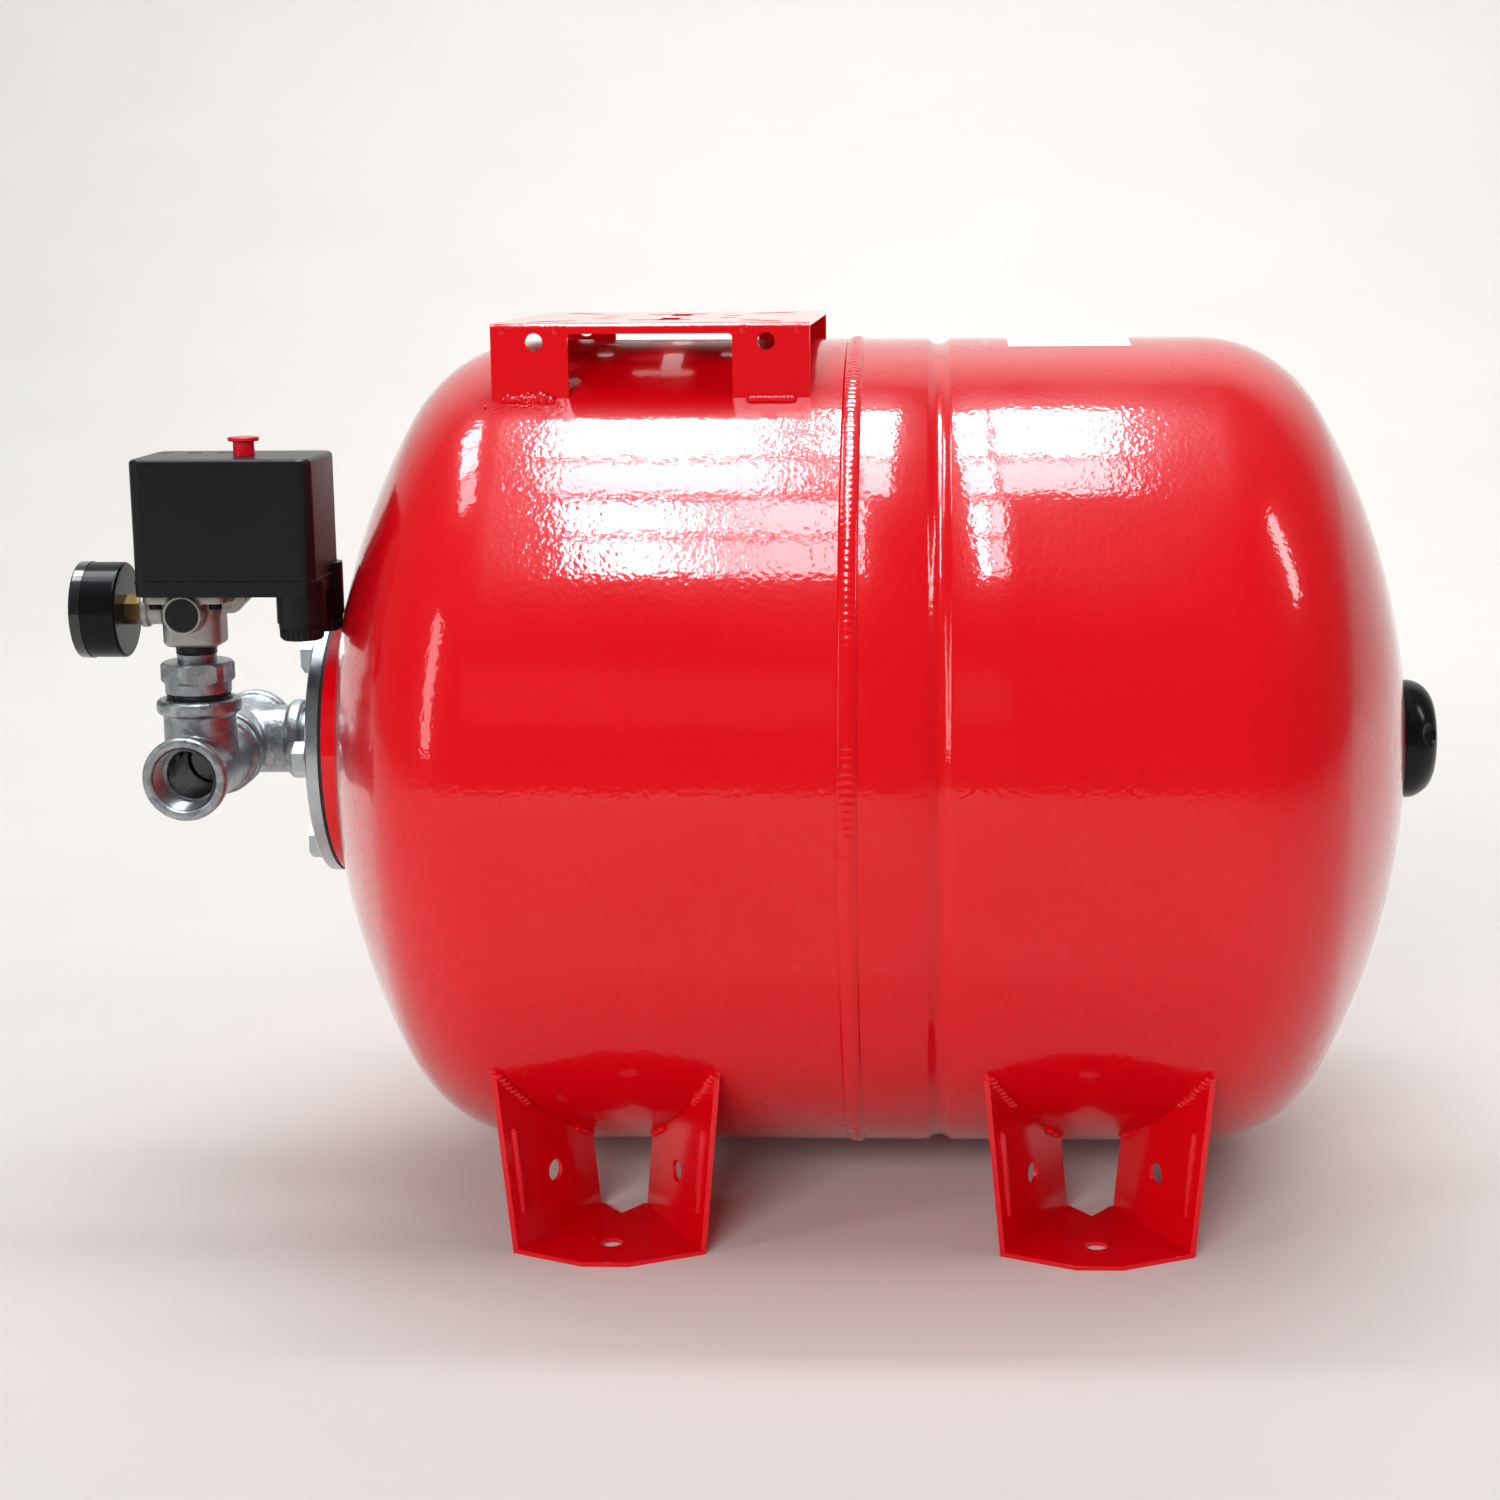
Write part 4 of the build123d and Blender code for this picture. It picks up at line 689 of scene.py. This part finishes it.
PORT_CREST_R = 0.0152
PORT_ROOT_R = 0.01655
PORT_TURNS = 6
THREAD_LEAD_IN = 0.0014
for name, mouth_y, inward in (("front_port_thread", -0.118, 1), ("rear_port_thread", 0.038, -1)):
    thread = bmesh.new()
    points = []
    for turn in range(PORT_TURNS):
        start = mouth_y + inward * (THREAD_LEAD_IN + THREAD_PITCH * turn)
        points.append(Vector((PORT_X, start, AXIS_Z + PORT_ROOT_R)))
        points.append(Vector((PORT_X, start + inward * THREAD_PITCH / 2, AXIS_Z + PORT_CREST_R)))
    corners = [thread.verts.new(point) for point in points]
    edges = [thread.edges.new(pair) for pair in zip(corners, corners[1:])]
    bmesh.ops.spin(
        thread, geom=corners + edges, cent=(PORT_X, 0, AXIS_Z), axis=(0, 1, 0), angle=2 * math.pi,
        steps=THREAD_SIDES, use_merge=True)
    bmesh.ops.remove_doubles(thread, verts=thread.verts[:], dist=1e-6)
    bmesh.ops.recalc_face_normals(thread, faces=thread.faces[:])
    thread.faces.ensure_lookup_table()
    first = thread.faces[0]
    to_axis = Vector((PORT_X, first.calc_center_median().y, AXIS_Z)) - first.calc_center_median()
    if first.normal.dot(to_axis) < 0:
        bmesh.ops.reverse_faces(thread, faces=thread.faces[:])
    thread_piece = keep_mesh(name, thread, smooth=False)
    thread_piece.data.materials.append(bright_thread)
    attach(thread_piece, "tank")

# ---------------------------------------------------------------- port block
# Die-cast aluminium block under the switch, sand-grey and dull.  It sits on the column's nipple,
# and two black plastic plugs close its spare ports.
BLOCK_SMOOTHING = 4
die_cast, tree, surface, place, flow = clouded(
    "die_cast_aluminium", "#8F8E8A", "#C6C5C1", 90.0, 5.0, 0.6)
surface.inputs["Metallic"].default_value = 0.85
uneven_gloss(tree, surface, flow, 0.38, 0.6)
skin = add(tree, "ShaderNodeTexNoise", {"Vector": place, "Scale": 700.0, "Detail": 2.0})
relief(tree, surface, skin.outputs["Fac"], 0.25, 0.0004)
port_block = cast_copy("port_manifold", "port_block", BLOCK_SMOOTHING)
port_block.data.materials.append(die_cast)
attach(port_block, "tank")
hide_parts("port_manifold")

# ---------------------------------------------------------------- pressure switch
# Hood and base are black ABS from a spark-eroded mould, which leaves a fine even grain and a
# low sheen.  The knob and the air cap are smooth from polished moulds.
black_abs, tree, surface, place, handling = clouded(
    "black_moulded_abs", "#0E0F11", "#15171A", 35.0, 5.0)
uneven_gloss(tree, surface, handling, 0.27, 0.38)
# mould grain is 0.2 mm, drawn at 0.6 mm so that it shows
grain = add(tree, "ShaderNodeTexNoise", {"Vector": place, "Scale": 1600.0, "Detail": 1.0})
relief(tree, surface, grain.outputs["Fac"], 0.22, 0.0002)
surface.inputs["Specular IOR Level"].default_value = 0.25
for node in ("switch_base", "switch_cover", "port_plugs"):
    dress(node, black_abs)

# the hood ends in a narrow lip that stands half a millimetre proud where it closes on the base
LIP_HEIGHT = 0.0016
LIP_PROUD = 0.0006
LIP_WALL = 0.0018
LIP_EDGE = 0.0004
low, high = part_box("switch_cover")
hood = bmesh.new()
hood.from_mesh(nodes["switch_cover"].data)
bmesh.ops.bisect_plane(
    hood, geom=hood.verts[:] + hood.edges[:] + hood.faces[:], plane_co=(0, 0, low.z + LIP_HEIGHT),
    plane_no=(0, 0, 1), clear_outer=True)
lip = bmesh.new()
for vertex in hood.verts:
    lip.verts.new(vertex.co)
hood.free()
bmesh.ops.remove_doubles(lip, verts=lip.verts[:], dist=2e-5)
bmesh.ops.convex_hull(lip, input=lip.verts[:])
bmesh.ops.delete(lip, geom=[v for v in lip.verts if not v.link_faces], context="VERTS")
bmesh.ops.dissolve_limit(lip, angle_limit=math.radians(1), verts=lip.verts[:], edges=lip.edges[:])
half = (high - low) / 2
bmesh.ops.scale(
    lip, vec=(1 + LIP_PROUD / half.x, 1 + LIP_PROUD / half.y, 1),
    space=Matrix.Translation(-(low + high) / 2), verts=lip.verts[:])
lip.normal_update()
flats = [face for face in lip.faces if abs(face.normal.z) > 0.9]
bmesh.ops.inset_region(lip, faces=[flats[0]], thickness=LIP_WALL, use_even_offset=True)
bmesh.ops.inset_region(lip, faces=[flats[1]], thickness=LIP_WALL, use_even_offset=True)
bmesh.ops.delete(lip, geom=flats, context="FACES")
bmesh.ops.bridge_loops(lip, edges=[edge for edge in lip.edges if len(edge.link_faces) == 1])
bmesh.ops.recalc_face_normals(lip, faces=lip.faces[:])
corners = [
    edge for edge in lip.edges
    if len(edge.link_faces) == 2 and edge.calc_face_angle(0) > math.radians(40)]
bmesh.ops.bevel(
    lip, geom=corners, offset=LIP_EDGE, offset_type="OFFSET", affect="EDGES", segments=2,
    profile=0.5, material=-1, clamp_overlap=True)
lip_piece = keep_mesh("hood_lip", lip)
lip_piece.data.set_sharp_from_angle(angle=math.radians(38))
lip_piece.data.materials.append(black_abs)
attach(lip_piece, "tank")

gloss_black, tree, surface, _, dust = clouded(
    "polished_black_plastic", "#08090A", "#131518", 220.0, 6.0)
uneven_gloss(tree, surface, dust, 0.12, 0.3)
surface.inputs["Specular IOR Level"].default_value = 0.22
dress("valve_cap", gloss_black)

red_plastic, _, surface, *_ = clouded(
    "red_moulded_knob_plastic", "#C4001E", "#E0082C", 160.0, 3.0)
surface.inputs["Roughness"].default_value = 0.3
surface.inputs["Subsurface Weight"].default_value = 0.08
surface.inputs["Subsurface Radius"].default_value = (0.002, 0.0005, 0.0004)
dress("switch_knob", red_plastic)

# ---------------------------------------------------------------- dial gauge
# Pressed steel case and screwed bezel in black enamel, a clear plastic window and a white printed
# plate.  The bezel is sprayed glossy; the case behind it and the port block's screws are satin.
for name, coat, level, dressed in (
    ("gloss_black_enamel", 1.0, 0.3, ("gauge_bezel",)),
    ("satin_black_enamel", 0.12, 0.1, ("gauge_case", "manifold_screws")),
):
    black_enamel, tree, surface, place, _ = clouded(name, "#060708", "#101216", 60.0, 6.0)
    peel = add(tree, "ShaderNodeTexNoise", {"Vector": place, "Scale": 520.0, "Detail": 1.0})
    relief(tree, surface, peel.outputs["Fac"], 0.1, 0.0003, ("Normal", "Coat Normal"))
    surface.inputs["Roughness"].default_value = 0.3
    surface.inputs["Specular IOR Level"].default_value = level
    surface.inputs["Coat Weight"].default_value = coat
    surface.inputs["Coat Roughness"].default_value = 0.06
    for node in dressed:
        dress(node, black_enamel)

window, tree, surface = new_material("clear_acrylic_window")
surface.inputs["Base Color"].default_value = linear("#FBFDFD")
surface.inputs["Transmission Weight"].default_value = 1.0
surface.inputs["Roughness"].default_value = 0.02
surface.inputs["IOR"].default_value = 1.1
place = add(tree, "ShaderNodeTexCoord").outputs["Object"]
scuff = add(tree, "ShaderNodeTexNoise", {"Vector": place, "Scale": 300.0, "Detail": 4.0})
relief(tree, surface, scuff.outputs["Fac"], 0.02, 0.0002)
dress("gauge_lens", window)

dial_white, _, surface, *_ = clouded("white_lacquered_dial", "#E9E9E4", "#F3F3EF", 130.0, 3.0)
surface.inputs["Roughness"].default_value = 0.42
dress("gauge_dial", dial_white)

ink, _, surface, *_ = clouded("black_printing_ink", "#0C0C0E", "#1B1B1E", 900.0, 2.0)
surface.inputs["Roughness"].default_value = 0.5
dress("gauge_pointer", ink)

# scale of 0 to 10 over 270 degrees, seen from -X; zero lies at the lower left
GAUGE_Z = AXIS_Z + 0.086
DIAL_FACE_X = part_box("gauge_dial")[0].x
PRINT_T = 0.00012
SCALE_START = math.radians(135)
SCALE_SWEEP = math.radians(270)
SCALE_R = 0.0205
FIGURE_R = 0.0142
FIGURE_HEIGHT = 0.0052
MARKS = 50


def dial_place(share, radius):
    """Point on the dial and its angle; share runs from 0 at the zero mark to 1 at full scale."""
    angle = SCALE_START - SCALE_SWEEP * share
    place = Vector((
        DIAL_FACE_X, COLUMN_Y + radius * math.sin(angle), GAUGE_Z + radius * math.cos(angle)))
    return place, angle


marks = bmesh.new()
for step in range(MARKS + 1):
    major = step % 10 == 0
    medium = step % 5 == 0
    length = 0.0032 if major else (0.0024 if medium else 0.0015)
    width = 0.0006 if major else 0.0003
    centre, angle = dial_place(step / MARKS, SCALE_R - length / 2)
    turn = Matrix.Rotation(-angle, 4, "X")
    size = Matrix.Diagonal((PRINT_T, width, length, 1))
    lift = Matrix.Translation(centre - Vector((PRINT_T / 2, 0, 0)))
    bmesh.ops.create_cube(marks, size=1.0, matrix=lift @ turn @ size)
marks_piece = keep_mesh("dial_marks", marks, smooth=False)
marks_piece.data.materials.append(ink)
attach(marks_piece, "tank")
for value in range(0, 11, 2):
    text = bpy.data.curves.new("figure", "FONT")
    text.body = str(value)
    text.size = FIGURE_HEIGHT
    text.align_x = "CENTER"
    text.align_y = "CENTER"
    text.extrude = PRINT_T / 2
    figure = bpy.data.objects.new("figure", text)
    bpy.context.scene.collection.objects.link(figure)
    evaluated = figure.evaluated_get(bpy.context.evaluated_depsgraph_get())
    flat = bpy.data.meshes.new_from_object(evaluated)
    bpy.data.objects.remove(figure)
    centre = dial_place(value / 10, FIGURE_R)[0]
    # upright figures that face -X
    facing = Matrix(((0, 0, -1, 0), (-1, 0, 0, 0), (0, 1, 0, 0), (0, 0, 0, 1)))
    flat.transform(Matrix.Translation(centre - Vector((PRINT_T / 2, 0, 0))) @ facing)
    number = bpy.data.objects.new("dial_number_" + str(value), flat)
    bpy.context.scene.collection.objects.link(number)
    number.data.materials.clear()
    number.data.materials.append(ink)
    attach(number, "tank")

# ---------------------------------------------------------------- cable glands
# Each gland is a black moulded nut with finger ribs under the switch, screwed up on a rubber
# sleeve that would grip the cable.
GLAND_RIBS = 24
RIB_CIRCLE_R = 0.0109
RIB_HEIGHT = 0.0048
RIB_MIDDLE = 0.0036
RIB_LOWER_R = 0.0006
RIB_UPPER_R = 0.0009
for node, name in (("front_gland_nut", "front_gland_ribs"), ("rear_gland_nut", "rear_gland_ribs")):
    low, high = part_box(node)
    centre = (low + high) / 2
    ribs = bmesh.new()
    for step in range(GLAND_RIBS):
        turn = Matrix.Rotation(2 * math.pi * step / GLAND_RIBS, 4, "Z")
        middle = Matrix.Translation((centre.x, centre.y, low.z + RIB_MIDDLE))
        bmesh.ops.create_cone(
            ribs, cap_ends=True, segments=8, radius1=RIB_LOWER_R, radius2=RIB_UPPER_R,
            depth=RIB_HEIGHT, matrix=middle @ turn @ Matrix.Translation((RIB_CIRCLE_R, 0, 0)))
    for face in ribs.faces:
        face.smooth = len(face.verts) == 4
    ribs_piece = keep_mesh(name, ribs, smooth=False)
    ribs_piece.data.materials.append(black_abs)
    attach(ribs_piece, "tank")
    dress(node, black_abs)

# ---------------------------------------------------------------- rubber, brass and inner steel
# The bag's lip, the gland sleeves and the diaphragm are black rubber.  The gauge's works and
# the valve are turned brass, and the switch's inner parts are plated steel round a beige
# terminal block.
rubber, _, surface, *_ = clouded("black_butyl_rubber", "#131313", "#242424", 200.0)
surface.inputs["Roughness"].default_value = 0.7
for node in ("bladder", "diaphragm", "front_gland_seal", "rear_gland_seal"):
    dress(node, rubber)

brass, _, surface, *_ = clouded("turned_brass", "#A98748", "#D9B76C", 180.0)
surface.inputs["Metallic"].default_value = 1.0
surface.inputs["Roughness"].default_value = 0.28
for node in ("gauge_movement", "bourdon_tube", "gauge_sector", "valve_stem", "valve_core",
             "valve_pin", "fixed_contacts"):
    dress(node, brass)
# the gauge's socket is brown from age
old_brass, _, surface, *_ = clouded("oxidised_brass", "#5F4A2E", "#8A6F46", 180.0)
surface.inputs["Metallic"].default_value = 1.0
surface.inputs["Roughness"].default_value = 0.36
dress("gauge_socket", old_brass)
for node in ("adjusting_screw", "spring_frame", "switch_piston", "switch_lever", "lever_pin",
             "terminal_screws", "cover_screws"):
    dress(node, zinc_plate)
thermoset, _, surface, *_ = clouded("beige_thermoset", "#B8AE9A", "#CBC2B0", 110.0)
surface.inputs["Roughness"].default_value = 0.5
dress("terminal_block", thermoset)

# ---------------------------------------------------------------- main spring
# Coil of plated spring wire between the piston, whose stroke is 1 mm, and the plate of the
# adjusting screw.
low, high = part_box("main_spring")
coil = bmesh.new()
coil.from_mesh(nodes["main_spring"].data)
bmesh.ops.remove_doubles(coil, verts=coil.verts[:], dist=2e-6)
coil_piece = keep_mesh("switch_spring_coil", coil)
for polygon in coil_piece.data.polygons:
    polygon.material_index = 0
coil_piece.data.set_sharp_from_angle(angle=math.radians(38))
coil_piece.data.materials.append(zinc_plate)
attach(coil_piece, "tank")
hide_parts("main_spring")
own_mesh(coil_piece)

# ---------------------------------------------------------------- label
# A plain coated-paper label, stuck over the top of the right half.  It cockles a little where it
# follows the curve.
label_paper, tree, surface, place, _ = clouded("coated_label_paper", "#E8E9EC", "#F4F5F7", 420.0)
surface.inputs["Roughness"].default_value = 0.45
cockle = add(tree, "ShaderNodeTexNoise", {"Vector": place, "Scale": 45.0, "Detail": 1.0})
relief(tree, surface, cockle.outputs["Fac"], 0.4, 0.001)
dress("blank_label", label_paper)
